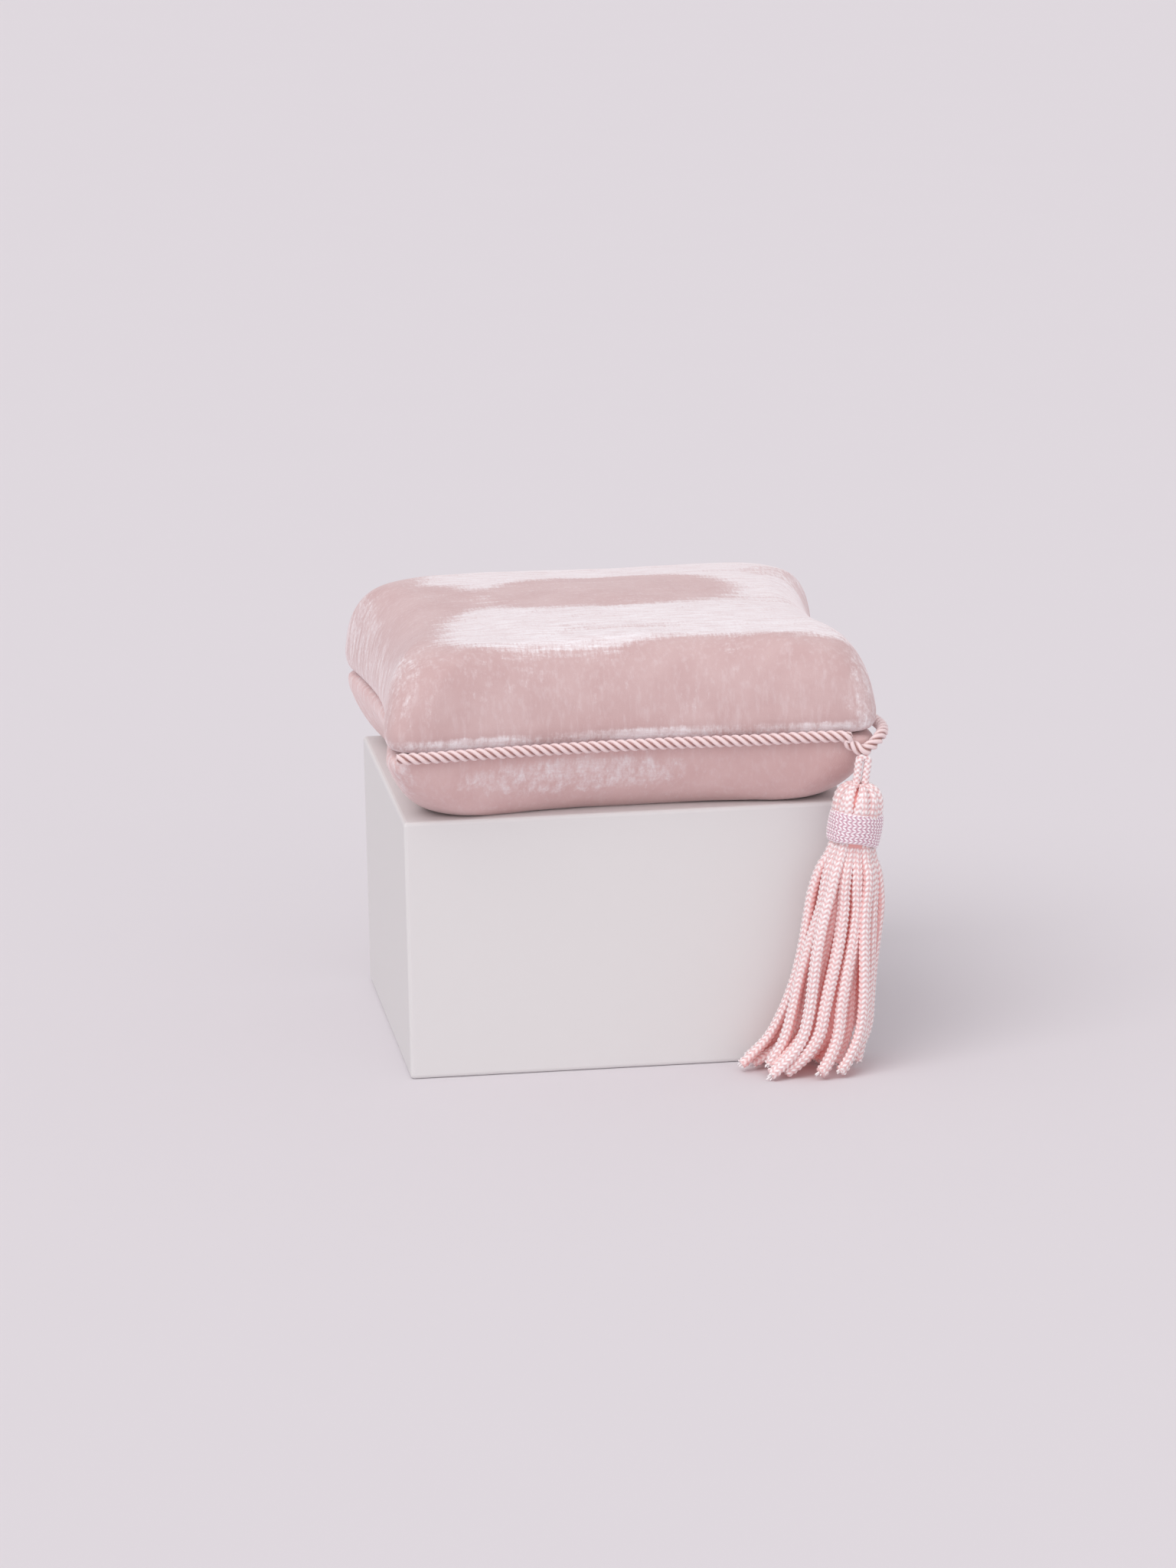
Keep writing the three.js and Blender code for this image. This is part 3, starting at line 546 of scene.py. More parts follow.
def padded_shell(name, form, line, soft_rows, paint_crush_and_sheen=None):
    """A closed shell through stations of the section, with soft_rows of them uneven as padding is."""

    def lay(u, row):
        inset, height = line[row].T
        share = np.clip(height / form["rise"], 0, 1)
        x, y = outline(inset, share, u)
        thickness = form["rise"] + form["crown"]
        lifted = SEAM_GAP / 2 + height * (1 - SEAM_GAP / (2 * thickness))
        proud = np.where(row < soft_rows, softness(x, y, height, form), 0)
        distance = np.maximum(np.hypot(x, y), 1)
        steep = 1 - share**3
        x = x + proud * steep * x / distance
        y = y + proud * steep * y / distance
        lifted = lifted + proud * (1 - steep)
        beside = np.clip((HINGE_SEAT["half_length"] + 2 - np.abs(x)) / 2, 0, 1)
        seat = HINGE_SEAT["height"] * beside * (y > HINGE_SEAT["y"])
        lifted = np.maximum(lifted, seat)
        z = SEAM_HEIGHT + form["up"] * lifted
        # Where the velvet is painted pale, from the mask function given: pressed pile and painted sheen.
        crush_and_sheen = paint_crush_and_sheen(x, y, lifted) * (row < soft_rows) if paint_crush_and_sheen else 0 * x
        return np.stack([x, y, z], axis=1), {"crush_and_sheen": crush_and_sheen, "height": lifted}

    return surface(name, 400, len(line), lay)


def velvet_line(form):
    """The velvet's outside, its turned-in edge, and its inside."""
    outer = whole_line(form, 0, True, 92)
    inner = whole_line(form, VELVET, True, 30)
    rim = np.array([(TURN_IN - 0.6, 0), (TURN_IN, 0.1), (TURN_IN, VELVET - 0.1), (TURN_IN - 0.6, VELVET)])
    return np.vstack([outer, rim, inner[::-1]]), len(outer)


def lining_line(form):
    """The lining's back, its flange over the board's edge, and its inside."""
    back = whole_line(form, LINING_OUT, False, 30)
    front = whole_line(form, LINING_IN, False, 70)
    flange = [(LINING_OUT, VELVET), (FLANGE, VELVET), (FLANGE, 0.3)]
    lip = [(LINING_IN - 0.3, 0.3), (LINING_IN, 0.6)]
    return np.vstack([back, flange, lip, front[::-1]])


def within(value, width):
    """1 where value is above zero and 0 below, with an edge of the given width."""
    t = np.clip(value / width + 0.5, 0, 1)
    return t * t * (3 - 2 * t)


def blot(x, y, middle, half, power=2.0):
    """1 in an oval patch, falling to 0 round it."""
    far = (np.abs(x - middle[0]) / half[0]) ** power + (np.abs(y - middle[1]) / half[1]) ** power
    return within(1 - far, 0.9)


def lid_crush_and_sheen(x, y, height):
    """Where the lid's velvet is painted pale: 1 inside a patch and 0 outside. It is partly pressed pile and
    partly painted sheen. The crown is pale round an island of standing pile, and is painted paler also for
    light grazing the top;
    its corner ridge, sides, back and seam edge are rubbed and carry painted highlights."""
    seen_x = (-42, -34, -24, -14, -3, 4, 11, 22, 32, 38)
    front = np.interp(x, seen_x, (-33, -38, -41, -40, -40, -38, -37, -38, -39, -40))
    left = np.interp(y, (-40, -30, -17, -8, 0, 12, 22, 28), (-41, -38, -36, -33, -29, -25, -29, -36))
    crown = within(y - front, 5.5) * within(x - left - 1, 13) * within(height - 12, 9)
    crown = crown * (1 - 0.35 * within(x - 44, 5))
    island = np.maximum(blot(x, y, (2, 7.5), (27, 18), 2.5), 0.7 * blot(x, y, (-27, 5), (14, 9)))
    streak = 0.4 * blot(x, y, (42, 27), (10, 6)) + 0.3 * blot(x, y, (33, -5), (9, 3))
    streak = streak + 0.3 * blot(x, y, (0, -29), (12, 2))
    # Painted sheen: the crown's pale patch stands partly for light grazing the top.
    pale = crown * (1 - 0.95 * island) * (1 - streak)
    # Painted highlights where light catches the front left corner ridge, the left and right sides, the back,
    # the seam edge and the upper front left.
    ridge = 0.16 * blot(x, y, (-47, -41), (4, 8)) * within(height - 4, 5) * (1 - crown)
    sides = 0.46 * within(-45 - x, 4) * within(y + 41, 10) + 0.42 * within(x - 45, 4)
    behind = 0.3 * within(y - 44, 4) * (1 + np.sin(x / 9) * np.sin(height / 4 + x / 14))
    hem = 0.85 * within(3.0 - height, 1.1) * (0.75 + 0.25 * np.sin(x / 6 + 1))
    upper = 0.12 * within(height - 9, 9) * within(-10 - x, 30) * within(front - y, 3)
    return np.maximum(pale, np.maximum(ridge, np.maximum(sides + behind, hem))) + upper


def base_crush_and_sheen(x, y, height):
    """Where the base's velvet is painted pale: a rubbed patch low on the front, painted sheen on the side
    edges, and faint spots.
    """
    patch = 0.42 * blot(x, height, (-12, 6.5), (25, 4)) * (y < -30)
    # Painted sheen along the left and right sides, where light catches the rounded edges.
    edge = 0.4 * within(-45 - x, 4) + 0.35 * within(x - 46, 3)
    return np.maximum(patch, edge) + 0.12 * within(1 + np.sin(x / 15 + 2) * np.sin(y / 12) - 1.5, 0.5)


def make_shells(velvet, satin):
    """Velvet covers and satin linings of the two halves."""
    for word, form, paint_crush_and_sheen in (("lid", LID, lid_crush_and_sheen), ("base", BASE, base_crush_and_sheen)):
        line, soft_rows = velvet_line(form)
        mesh = padded_shell(f"{word}_velvet_cover", form, line, soft_rows, paint_crush_and_sheen)
        cover = new_object(f"{word}_velvet_cover", mesh)
        finish_piece(cover, word, "velvet", velvet[word], f"{word}_velvet")
        mesh = padded_shell(f"{word}_satin_lining", form, lining_line(form), 0)
        inside = new_object(f"{word}_satin_lining", mesh)
        finish_piece(inside, word, "satin", satin, f"{word}_lining")


# ---- trim cord ----------------------------------------------------------------------------------
def trim_route():
    """Along the front seam, down to the dip that carries the tassel, and along the right side."""
    steps = {"corner": 3, "side": 4}
    seat = []
    for k in range(4):
        arc = [(k + 0.36 * i / steps["corner"]) / 4 for i in range(steps["corner"] + 1)]
        side = [(k + 0.36 + 0.64 * j / steps["side"]) / 4 for j in range(1, steps["side"])]
        seat += arc + side
    x, y = outline(-CORD_OUTSIDE * np.ones(len(seat)), np.zeros(len(seat)), np.array(seat))
    ring = [(a, b, SEAM_HEIGHT) for a, b in zip(x, y)]
    per_side = steps["corner"] + steps["side"]
    front = ring[2 * per_side + 2 : 3 * per_side + 1]
    right = ring[3 * per_side + steps["corner"] :] + ring[:1]
    tx, ty, _ = TASSEL_PLACE
    dip = [
        (tx - 3.4, ty + 0.7, DIP_MIDDLE + 2.1),
        (tx - 1.5, ty + 0.1, DIP_MIDDLE + 0.5),
        (tx, ty, DIP_MIDDLE),
        (tx + 1.4, ty + 0.9, DIP_MIDDLE + 0.5),
        (tx + 3.6, ty + 2.8, DIP_MIDDLE + 1.9),
    ]
    return front + dip + right


def make_trim_cord(material):
    """The twisted cord in the seam."""
    path = smooth_line(trim_route(), 860)
    cord = new_object("twisted_cord", tube("twisted_cord", path, 36, three_ply(CORD_DIAMETER / 2)))
    finish_piece(cord, "base", "twisted_cord", material, "trim_cord")


# ---- inside -------------------------------------------------------------------------------------
def roll_mesh(name, low, high):
    """A foam roll in velvet: round above, flat below, closed at both ends."""
    size = high - low
    middle = (low + high) / 2
    rows = 72

    def lay(u, row):
        t = 2 * row / (rows - 1) - 1
        end = np.clip(1 - np.abs(t) ** 14, 0, 1) ** 0.5
        angle = 2 * math.pi * u
        c, s = np.cos(angle), np.sin(angle)
        width = size[1] / 2 * np.sign(c) * np.abs(c) ** 0.8 * (0.25 + 0.75 * end)
        up = size[2] * (0.36 + np.where(s > 0, 0.64, 0.36) * np.sign(s) * np.abs(s) ** 0.75 * end)
        width = np.where((row == 0) | (row == rows - 1), 0, width)
        up = np.where((row == 0) | (row == rows - 1), 0.36 * size[2], up)
        dimple = 1 - 0.02 * (1 + np.sin(9 * t + 2 * c)) * (s > 0)
        x = middle[0] + size[0] / 2 * t
        return np.stack([x, middle[1] + width * dimple, low[2] + up * dimple], axis=1), {"crush_and_sheen": 0 * u}

    return surface(name, 64, rows, lay)


def swell(piece, held, most):
    """Blows the piece up a little as cloth over foam. held(points) marks the glued points, and no point
    moves more than most millimetres. It is worked at eight times the size, where cloth behaves."""
    scene = bpy.context.scene
    grown = 8.0
    work = new_object("swelling", piece.data.copy())
    work.data.transform(Matrix.Scale(grown, 4))
    fine = work.modifiers.new("remesh", "REMESH")
    fine.mode = "VOXEL"
    fine.voxel_size = 0.0052
    even = bpy.data.meshes.new_from_object(work.evaluated_get(bpy.context.evaluated_depsgraph_get()))
    work.modifiers.clear()
    work.data = even
    start = np.zeros(len(even.vertices) * 3, np.float32)
    even.vertices.foreach_get("co", start)
    start = start.reshape(-1, 3)
    pinned = work.vertex_groups.new(name="pinned")
    pinned.add([int(i) for i in np.nonzero(held(start / grown / MM))[0]], 1.0, "REPLACE")
    cloth = work.modifiers.new("cloth", "CLOTH")
    cloth.settings.quality = 6
    cloth.settings.mass = 0.25
    cloth.settings.tension_stiffness = 12
    cloth.settings.compression_stiffness = 8
    cloth.settings.bending_stiffness = 0.2
    cloth.settings.use_pressure = True
    cloth.settings.uniform_pressure_force = 4
    cloth.settings.vertex_group_mass = "pinned"
    cloth.settings.effector_weights.gravity = 0
    for frame_number in range(1, 21):
        scene.frame_set(frame_number)
    swollen = bpy.data.meshes.new_from_object(work.evaluated_get(bpy.context.evaluated_depsgraph_get()))
    end = np.zeros(len(swollen.vertices) * 3, np.float32)
    swollen.vertices.foreach_get("co", end)
    moved = end.reshape(-1, 3) - start
    limit = most * MM * grown
    far = np.maximum(np.linalg.norm(moved, axis=1), 1e-9)[:, None]
    done = start + moved * (limit * np.tanh(far / limit) / far)
    swollen.vertices.foreach_set("co", (done / grown).astype(np.float32).ravel())
    swollen.update()
    scene.frame_set(1)
    bpy.data.objects.remove(work)
    piece.data = swollen
    swollen.shade_smooth()


def make_bed(velvet):
    """The three foam rolls that rings stand between, each glued down along its foot."""
    for word in ("front", "middle", "back"):
        low, high = (np.array(corner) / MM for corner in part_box(f"ring_roll_{word}"))
        roll = new_object(f"ring_roll_cover_{word}", roll_mesh(f"ring_roll_cover_{word}", low, high))
        swell(roll, lambda points, foot=low[2]: points[:, 2] < foot + 1.2, 0.9)
        finish_piece(roll, "base", "roll_velvet", velvet, f"ring_roll_{word}")


def make_lid_pad(satin):
    """The satin pad in the lid's ceiling, crowned and pulled in at its edge."""
    low, high = (np.array(corner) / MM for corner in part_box("lid_pad"))
    half = (high - low)[:2] / 2
    thick = (high - low)[2]
    rows = 44

    def lay(u, row):
        t = row / (rows - 1)
        turn = math.pi * t
        share = np.abs(np.sin(turn)) ** 0.35
        bottom = t < 0.5
        angle = 2 * math.pi * u
        square = (np.abs(np.cos(angle)) ** 7 + np.abs(np.sin(angle)) ** 7) ** (-1 / 7)
        x = half[0] * share * np.cos(angle) * square
        y = half[1] * share * np.sin(angle) * square
        crown = np.where(bottom, thick * 0.7, thick * 0.3) * np.abs(np.cos(turn)) ** 0.8
        z = low[2] + thick * 0.7 + np.where(bottom, -crown, crown)
        pucker = 0.12 * np.sin(40 * angle) * share**12 * bottom
        return np.stack([x, y, z + pucker], axis=1), {"crush_and_sheen": 0 * u}

    pad = new_object("lid_satin_pad", surface("lid_satin_pad", 240, rows, lay))
    swell(pad, lambda points: points[:, 2] > high[2] - 1.1, 0.7)
    finish_piece(pad, "lid", "satin", satin, "lid_pad")


def make_pin(steel):
    """The hinge's pin, with its two ends rounded over."""
    low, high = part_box("hinge_pin")
    middle = (low + high) / 2
    radius = (high.z - low.z) / 2
    bm = bmesh.new()
    turn = Matrix.Rotation(math.pi / 2, 4, "Y")
    place = Matrix.Translation(middle) @ turn
    length = high.x - low.x
    bmesh.ops.create_cone(
        bm, cap_ends=True, segments=40, radius1=radius, radius2=radius, depth=length, matrix=place
    )
    rims = [e for e in bm.edges if abs(e.verts[0].co.x - e.verts[1].co.x) < 1e-6]
    bmesh.ops.bevel(bm, geom=rims, offset=0.25 * MM, segments=3, profile=0.5, affect="EDGES", material=-1)
    mesh = bpy.data.meshes.new("pin")
    bm.to_mesh(mesh)
    bm.free()
    mesh.shade_smooth()
    finish_piece(new_object("pin", mesh), "base", "steel", steel, "hinge_pin")


def make_rivets(brass):
    """Domed rivet heads on the two leaves, each spun from its profile."""
    for word in ("base", "lid"):
        for number in (1, 2, 3):
            node = f"{word}_hinge_rivet_{number}"
            low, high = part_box(node)
            middle = (low + high) / 2
            radius = (high.x - low.x) / 2
            thick = high.y - low.y
            bm = bmesh.new()
            profile = []
            for step in range(9):
                angle = math.pi / 2 * step / 8
                profile.append((radius * math.sin(angle), -thick / 2 + thick * (1 - math.cos(angle))))
            profile.append((radius * 0.6, thick / 2))
            profile.append((0, thick / 2))
            points = [bm.verts.new((middle.x + r, middle.y + y, middle.z)) for r, y in profile]
            edges = [bm.edges.new(pair) for pair in zip(points, points[1:])]
            bmesh.ops.spin(
                bm,
                geom=points + edges,
                cent=middle,
                axis=(0, 1, 0),
                angle=2 * math.pi,
                steps=32,
                use_merge=True,
            )
            bmesh.ops.remove_doubles(bm, verts=bm.verts, dist=1e-6)
            bmesh.ops.recalc_face_normals(bm, faces=bm.faces)
            mesh = bpy.data.meshes.new(node)
            bm.to_mesh(mesh)
            bm.free()
            mesh.shade_smooth()
            rivet = new_object(f"{word}_rivet_head_{number}", mesh)
            finish_piece(rivet, word, "brass", brass, node)


# ---- materials ----------------------------------------------------------------------------------
# The kinds of node that the materials are made of.
COORDS = "ShaderNodeTexCoord"
MAPPING = "ShaderNodeMapping"
FIELD = "ShaderNodeAttribute"
NOISE = "ShaderNodeTexNoise"
WAVE = "ShaderNodeTexWave"
MATH = "ShaderNodeMath"
MIX = "ShaderNodeMix"  # colours are inputs 6 and 7 and output 2, numbers inputs 2 and 3 and output 0
RANGE = "ShaderNodeMapRange"
BUMP = "ShaderNodeBump"


def colour(code):
    """An sRGB hex colour as linear RGBA."""
    parts = [int(code[i : i + 2], 16) / 255 for i in (1, 3, 5)]
    return (*[c / 12.92 if c <= 0.04045 else ((c + 0.055) / 1.055) ** 2.4 for c in parts], 1)


def per_mm(*sizes):
    """Scales that make one unit of a pattern as long as each of these sizes in millimetres. A pattern
    that is the same each way has a scale of 1 / (its size * MM)."""
    return [1000 / size for size in sizes]


def add_node(tree, kind, output, inputs, **settings):
    """Adds a node with its settings, sets or links its inputs, and returns one of its outputs."""
    made = tree.nodes.new(kind)
    for name, value in settings.items():
        setattr(made, name, value)
    for socket, value in inputs.items():
        if isinstance(value, bpy.types.NodeSocket):
            tree.links.new(value, made.inputs[socket])
        else:
            made.inputs[socket].default_value = value
    return made.outputs[output]


def start_material(name, **fixed):
    """A material with a Principled shader; fixed sets the shader's own sockets."""
    material = bpy.data.materials.new(name)
    material.use_nodes = True
    tree = material.node_tree
    shader = tree.nodes["Principled BSDF"]
    for socket, value in fixed.items():
        shader.inputs[socket.replace("_", " ")].default_value = value
    return material, tree, shader


def silk_velvet(name, deep, mid, pale):
    """Rayon velvet: a cut pile about a millimetre high on a woven ground. Standing pile is matt and deep;
    where it is pressed flat it turns its sides to the light, so it is pale and streaked along the stroke.
    That is what tells the eye velvet from felt. The pale is painted into the colour from a field on the mesh,
    which also carries painted sheen where light grazes the crown and catches the sides and edges."""
    material, tree, shader = start_material(
        name, Sheen_Weight=0.55, Sheen_Roughness=0.38, Sheen_Tint=colour("#fff1f2"), Specular_IOR_Level=0.2
    )
    where = add_node(tree, COORDS, "Object", {})
    crush_and_sheen = add_node(tree, FIELD, "Fac", {}, attribute_name="crush_and_sheen")
    height = add_node(tree, FIELD, "Fac", {}, attribute_name="height")
    top = add_node(tree, RANGE, "Result", {"Value": height, "From Min": 12, "From Max": 18})

    # Where the velvet is painted pale, for pile that lies flat and for painted sheen: the field from the
    # mesh, broken up by streaks across the crown and down the walls.
    wide = add_node(tree, MAPPING, "Vector", {"Vector": where, "Scale": per_mm(13, 1.5, 2.2)})
    crown_streak = add_node(tree, NOISE, "Fac", {"Vector": wide, "Scale": 1, "Detail": 4, "Roughness": 0.64})
    tall = add_node(tree, MAPPING, "Vector", {"Vector": where, "Scale": per_mm(1.6, 1.6, 9)})
    wall_streak = add_node(tree, NOISE, "Fac", {"Vector": tall, "Scale": 1, "Detail": 4, "Roughness": 0.6})
    streak = add_node(tree, MIX, 0, {0: top, 2: wall_streak, 3: crown_streak})
    tips = add_node(tree, MAPPING, "Vector", {"Vector": where, "Scale": per_mm(0.55, 0.75, 0.75)})
    fuzz = add_node(tree, NOISE, "Fac", {"Vector": tips, "Scale": 1, "Detail": 3, "Roughness": 0.65})
    back = add_node(tree, MAPPING, "Vector", {"Vector": where, "Scale": per_mm(0.5, 3.5, 3.5)})
    combed = add_node(tree, NOISE, "Fac", {"Vector": back, "Scale": 1, "Detail": 2, "Roughness": 0.6})
    feather = add_node(tree, MIX, 0, {0: top, 2: 0.5, 3: combed})
    patch = add_node(tree, MATH, 0, {0: streak, 1: 1.5, 2: crush_and_sheen}, operation="MULTIPLY_ADD")
    patch = add_node(tree, MATH, 0, {0: fuzz, 1: 0.75, 2: patch}, operation="MULTIPLY_ADD")
    patch = add_node(tree, MATH, 0, {0: feather, 1: 0.9, 2: patch}, operation="MULTIPLY_ADD")
    edge = {"Value": patch, "From Min": 1.7, "From Max": 2.55}
    pressed = add_node(tree, RANGE, "Result", edge, interpolation_type="SMOOTHSTEP")

    # Standing pile: slow mottling and short upright strokes.
    clouds = {"Vector": where, "Scale": 1 / (8.7 * MM), "Detail": 3, "Roughness": 0.55}
    mottle = add_node(tree, NOISE, "Fac", clouds)
    share = add_node(tree, RANGE, "Result", {"Value": mottle, "From Min": 0.35, "From Max": 0.65})
    tone = add_node(tree, MIX, 2, {0: share, 6: colour(deep), 7: colour(mid)}, data_type="RGBA")
    upright = add_node(tree, MAPPING, "Vector", {"Vector": where, "Scale": per_mm(1.1, 1.1, 5)})
    stroke = add_node(tree, NOISE, "Fac", {"Vector": upright, "Scale": 1, "Detail": 3, "Roughness": 0.6})
    some = {"Value": stroke, "From Min": 0.5, "From Max": 0.8, "To Max": 0.22}
    share = add_node(tree, RANGE, "Result", some)
    tone = add_node(tree, MIX, 2, {0: share, 6: tone, 7: colour(pale)}, data_type="RGBA")

    # Painted pale over it, for pressed pile and painted sheen, shining in fine lines, and the dark points
    # between the tufts.
    fine = add_node(tree, MAPPING, "Vector", {"Vector": where, "Scale": per_mm(5, 0.6, 0.9)})
    lines = add_node(tree, NOISE, "Fac", {"Vector": fine, "Scale": 1, "Detail": 3, "Roughness": 0.6})
    some = {"Value": lines, "From Min": 0.36, "From Max": 0.6, "To Min": 0.62, "To Max": 1}
    share = add_node(tree, RANGE, "Result", some)
    shine = add_node(tree, MATH, 0, {0: pressed, 1: share}, operation="MULTIPLY")
    tone = add_node(tree, MIX, 2, {0: shine, 6: tone, 7: colour(pale)}, data_type="RGBA")
    tufts = add_node(tree, MAPPING, "Vector", {"Vector": where, "Scale": per_mm(0.5, 0.5, 0.8)})
    grain = add_node(tree, NOISE, "Fac", {"Vector": tufts, "Scale": 1, "Detail": 2, "Roughness": 0.7})
    some = {"Value": grain, "From Min": 0.45, "From Max": 0.7, "To Max": 0.22}
    share = add_node(tree, RANGE, "Result", some)
    tone = add_node(tree, MIX, 2, {0: share, 6: tone, 7: colour(deep)}, data_type="RGBA")
    tree.links.new(tone, shader.inputs["Base Color"])
    rough = add_node(tree, RANGE, "Result", {"Value": pressed, "To Min": 0.92, "To Max": 0.62})
    tree.links.new(rough, shader.inputs["Roughness"])

    hairs = {"Vector": where, "Scale": 1 / (0.345 * MM), "Detail": 2, "Roughness": 0.7}
    pile = add_node(tree, NOISE, "Fac", hairs)
    nap = add_node(tree, MAPPING, "Vector", {"Vector": where, "Scale": per_mm(5, 2.2, 2.2)})
    lumps = add_node(tree, NOISE, "Fac", {"Vector": nap, "Scale": 1, "Detail": 3})
    relief = add_node(tree, MATH, 0, {0: lumps, 1: 1.6, 2: pile}, operation="MULTIPLY_ADD")
    bump = add_node(tree, BUMP, "Normal", {"Height": relief, "Strength": 0.35, "Distance": 0.15 * MM})
    tree.links.new(bump, shader.inputs["Normal"])
    return material


def rayon(name, deep, hollow_shade, mid, top, sheen=0.2):
    """Rayon cord: long shiny filaments. Light goes through the yarns, and the colour paints it: the hollows
    between them are painted shade, the flanks between strands a painted glow of deeper pink, and the tops of
    the stitches a painted highlight nearly white. The white tops in rows are what makes it read as a knitted
    or twisted cord and not as a rod."""
    material, tree, shader = start_material(
        name, Sheen_Weight=sheen, Sheen_Roughness=0.4, Sheen_Tint=colour("#fff4f4"), Specular_IOR_Level=0.45
    )
    # Painted glow: the emission colour for the flanks' faint glow; the cord is no lamp.
    shader.inputs["Emission Color"].default_value = colour("#f0887f")  # light that comes through the yarn
    where = add_node(tree, COORDS, "Object", {})
    lift = add_node(tree, FIELD, "Fac", {}, attribute_name="lift")
    flank = add_node(tree, FIELD, "Fac", {}, attribute_name="flank")
    strands = add_node(tree, MAPPING, "Vector", {"Vector": where, "Scale": per_mm(0.22, 0.22, 0.5)})
    filament = add_node(tree, NOISE, "Fac", {"Vector": strands, "Scale": 1, "Detail": 3, "Roughness": 0.6})
    # Painted shade in the hollows and painted highlight on the tops of the threads, by each point's lift.
    lifted = add_node(tree, MATH, 0, {0: filament, 1: 0.3, 2: lift}, operation="MULTIPLY_ADD")
    share = add_node(tree, RANGE, "Result", {"Value": lifted, "From Min": 0.15, "From Max": 0.45})
    tone = add_node(tree, MIX, 2, {0: share, 6: colour(hollow_shade), 7: colour(mid)}, data_type="RGBA")
    share = add_node(tree, RANGE, "Result", {"Value": lifted, "From Min": 0.4, "From Max": 0.85})
    tone = add_node(tree, MIX, 2, {0: share, 6: tone, 7: colour(top)}, data_type="RGBA")
    # Painted glow: the flanks between strands are painted a deeper pink and glow faintly through emission.
    glow = add_node(tree, MATH, 0, {0: flank, 1: 0.6}, operation="MULTIPLY")
    tone = add_node(tree, MIX, 2, {0: glow, 6: tone, 7: colour(deep)}, data_type="RGBA")
    tree.links.new(tone, shader.inputs["Base Color"])
    through = add_node(tree, MATH, 0, {0: flank, 1: 0.1}, operation="MULTIPLY")
    tree.links.new(through, shader.inputs["Emission Strength"])
    rough = add_node(tree, RANGE, "Result", {"Value": lifted, "To Min": 0.62, "To Max": 0.34})
    tree.links.new(rough, shader.inputs["Roughness"])
    fibres = add_node(tree, MAPPING, "Vector", {"Vector": where, "Scale": per_mm(0.12, 0.12, 0.3)})
    fine = add_node(tree, NOISE, "Fac", {"Vector": fibres, "Scale": 1, "Roughness": 0.6})
    bump = add_node(tree, BUMP, "Normal", {"Height": fine, "Strength": 0.3, "Distance": 0.05 * MM})
    tree.links.new(bump, shader.inputs["Normal"])
    return material


def woven_satin():
    """Polyester satin: smooth floats of thread, drawn 0.5 mm apart, so it is glossy one way. The stretched
    highlight tells it from the velvet round it."""
    material, tree, shader = start_material(
        "woven_satin", Sheen_Weight=0.3, Sheen_Roughness=0.3, Sheen_Tint=colour("#fff6f3"), Anisotropic=0.5
    )
    where = add_node(tree, COORDS, "Object", {})
    drift = add_node(tree, NOISE, "Fac", {"Vector": where, "Scale": 1 / (14.3 * MM), "Detail": 3})
    share = add_node(tree, RANGE, "Result", {"Value": drift, "From Min": 0.35, "From Max": 0.65})
    tone = add_node(tree, MIX, 2, {0: share, 6: colour("#e6c9c4"), 7: colour("#f0dcd6")}, data_type="RGBA")
    spacing = 0.49 * MM
    floats = {"Vector": where, "Scale": math.pi / 10 / spacing, "Distortion": 0.6}
    thread = add_node(tree, WAVE, "Fac", floats)
    share = add_node(tree, MATH, 0, {0: thread, 1: 0.12}, operation="MULTIPLY")
    tone = add_node(tree, MIX, 2, {0: share, 6: tone, 7: colour("#cfa8a2")}, data_type="RGBA")
    tree.links.new(tone, shader.inputs["Base Color"])
    rough = add_node(tree, RANGE, "Result", {"Value": drift, "To Min": 0.3, "To Max": 0.42})
    tree.links.new(rough, shader.inputs["Roughness"])
    bump = add_node(tree, BUMP, "Normal", {"Height": thread, "Strength": 0.2, "Distance": 0.04 * MM})
    tree.links.new(bump, shader.inputs["Normal"])
    return material


def grey_board():
    """Moulded card board: pressed fibre, matt, with flecks and clouds, so it doesn't pass for plastic."""
    material, tree, shader = start_material("grey_board", Specular_IOR_Level=0.2)
    where = add_node(tree, COORDS, "Object", {})
    cloud = add_node(tree, NOISE, "Fac", {"Vector": where, "Scale": 1 / (8 * MM), "Detail": 3})
    tone = add_node(tree, MIX, 2, {0: cloud, 6: colour("#b8ab98"), 7: colour("#cdc2b1")}, data_type="RGBA")
    grit = {"Vector": where, "Scale": 1 / (0.8 * MM), "Detail": 5, "Roughness": 0.7}
    fleck = add_node(tree, NOISE, "Fac", grit)
    some = {"Value": fleck, "From Min": 0.58, "From Max": 0.75, "To Max": 0.5}
    share = add_node(tree, RANGE, "Result", some)
    tone = add_node(tree, MIX, 2, {0: share, 6: tone, 7: colour("#8f8372")}, data_type="RGBA")
    tree.links.new(tone, shader.inputs["Base Color"])
    rough = add_node(tree, RANGE, "Result", {"Value": fleck, "To Min": 0.8, "To Max": 0.95})
    tree.links.new(rough, shader.inputs["Roughness"])
    bump = add_node(tree, BUMP, "Normal", {"Height": fleck, "Strength": 0.4, "Distance": 0.1 * MM})
    tree.links.new(bump, shader.inputs["Normal"])
    return material


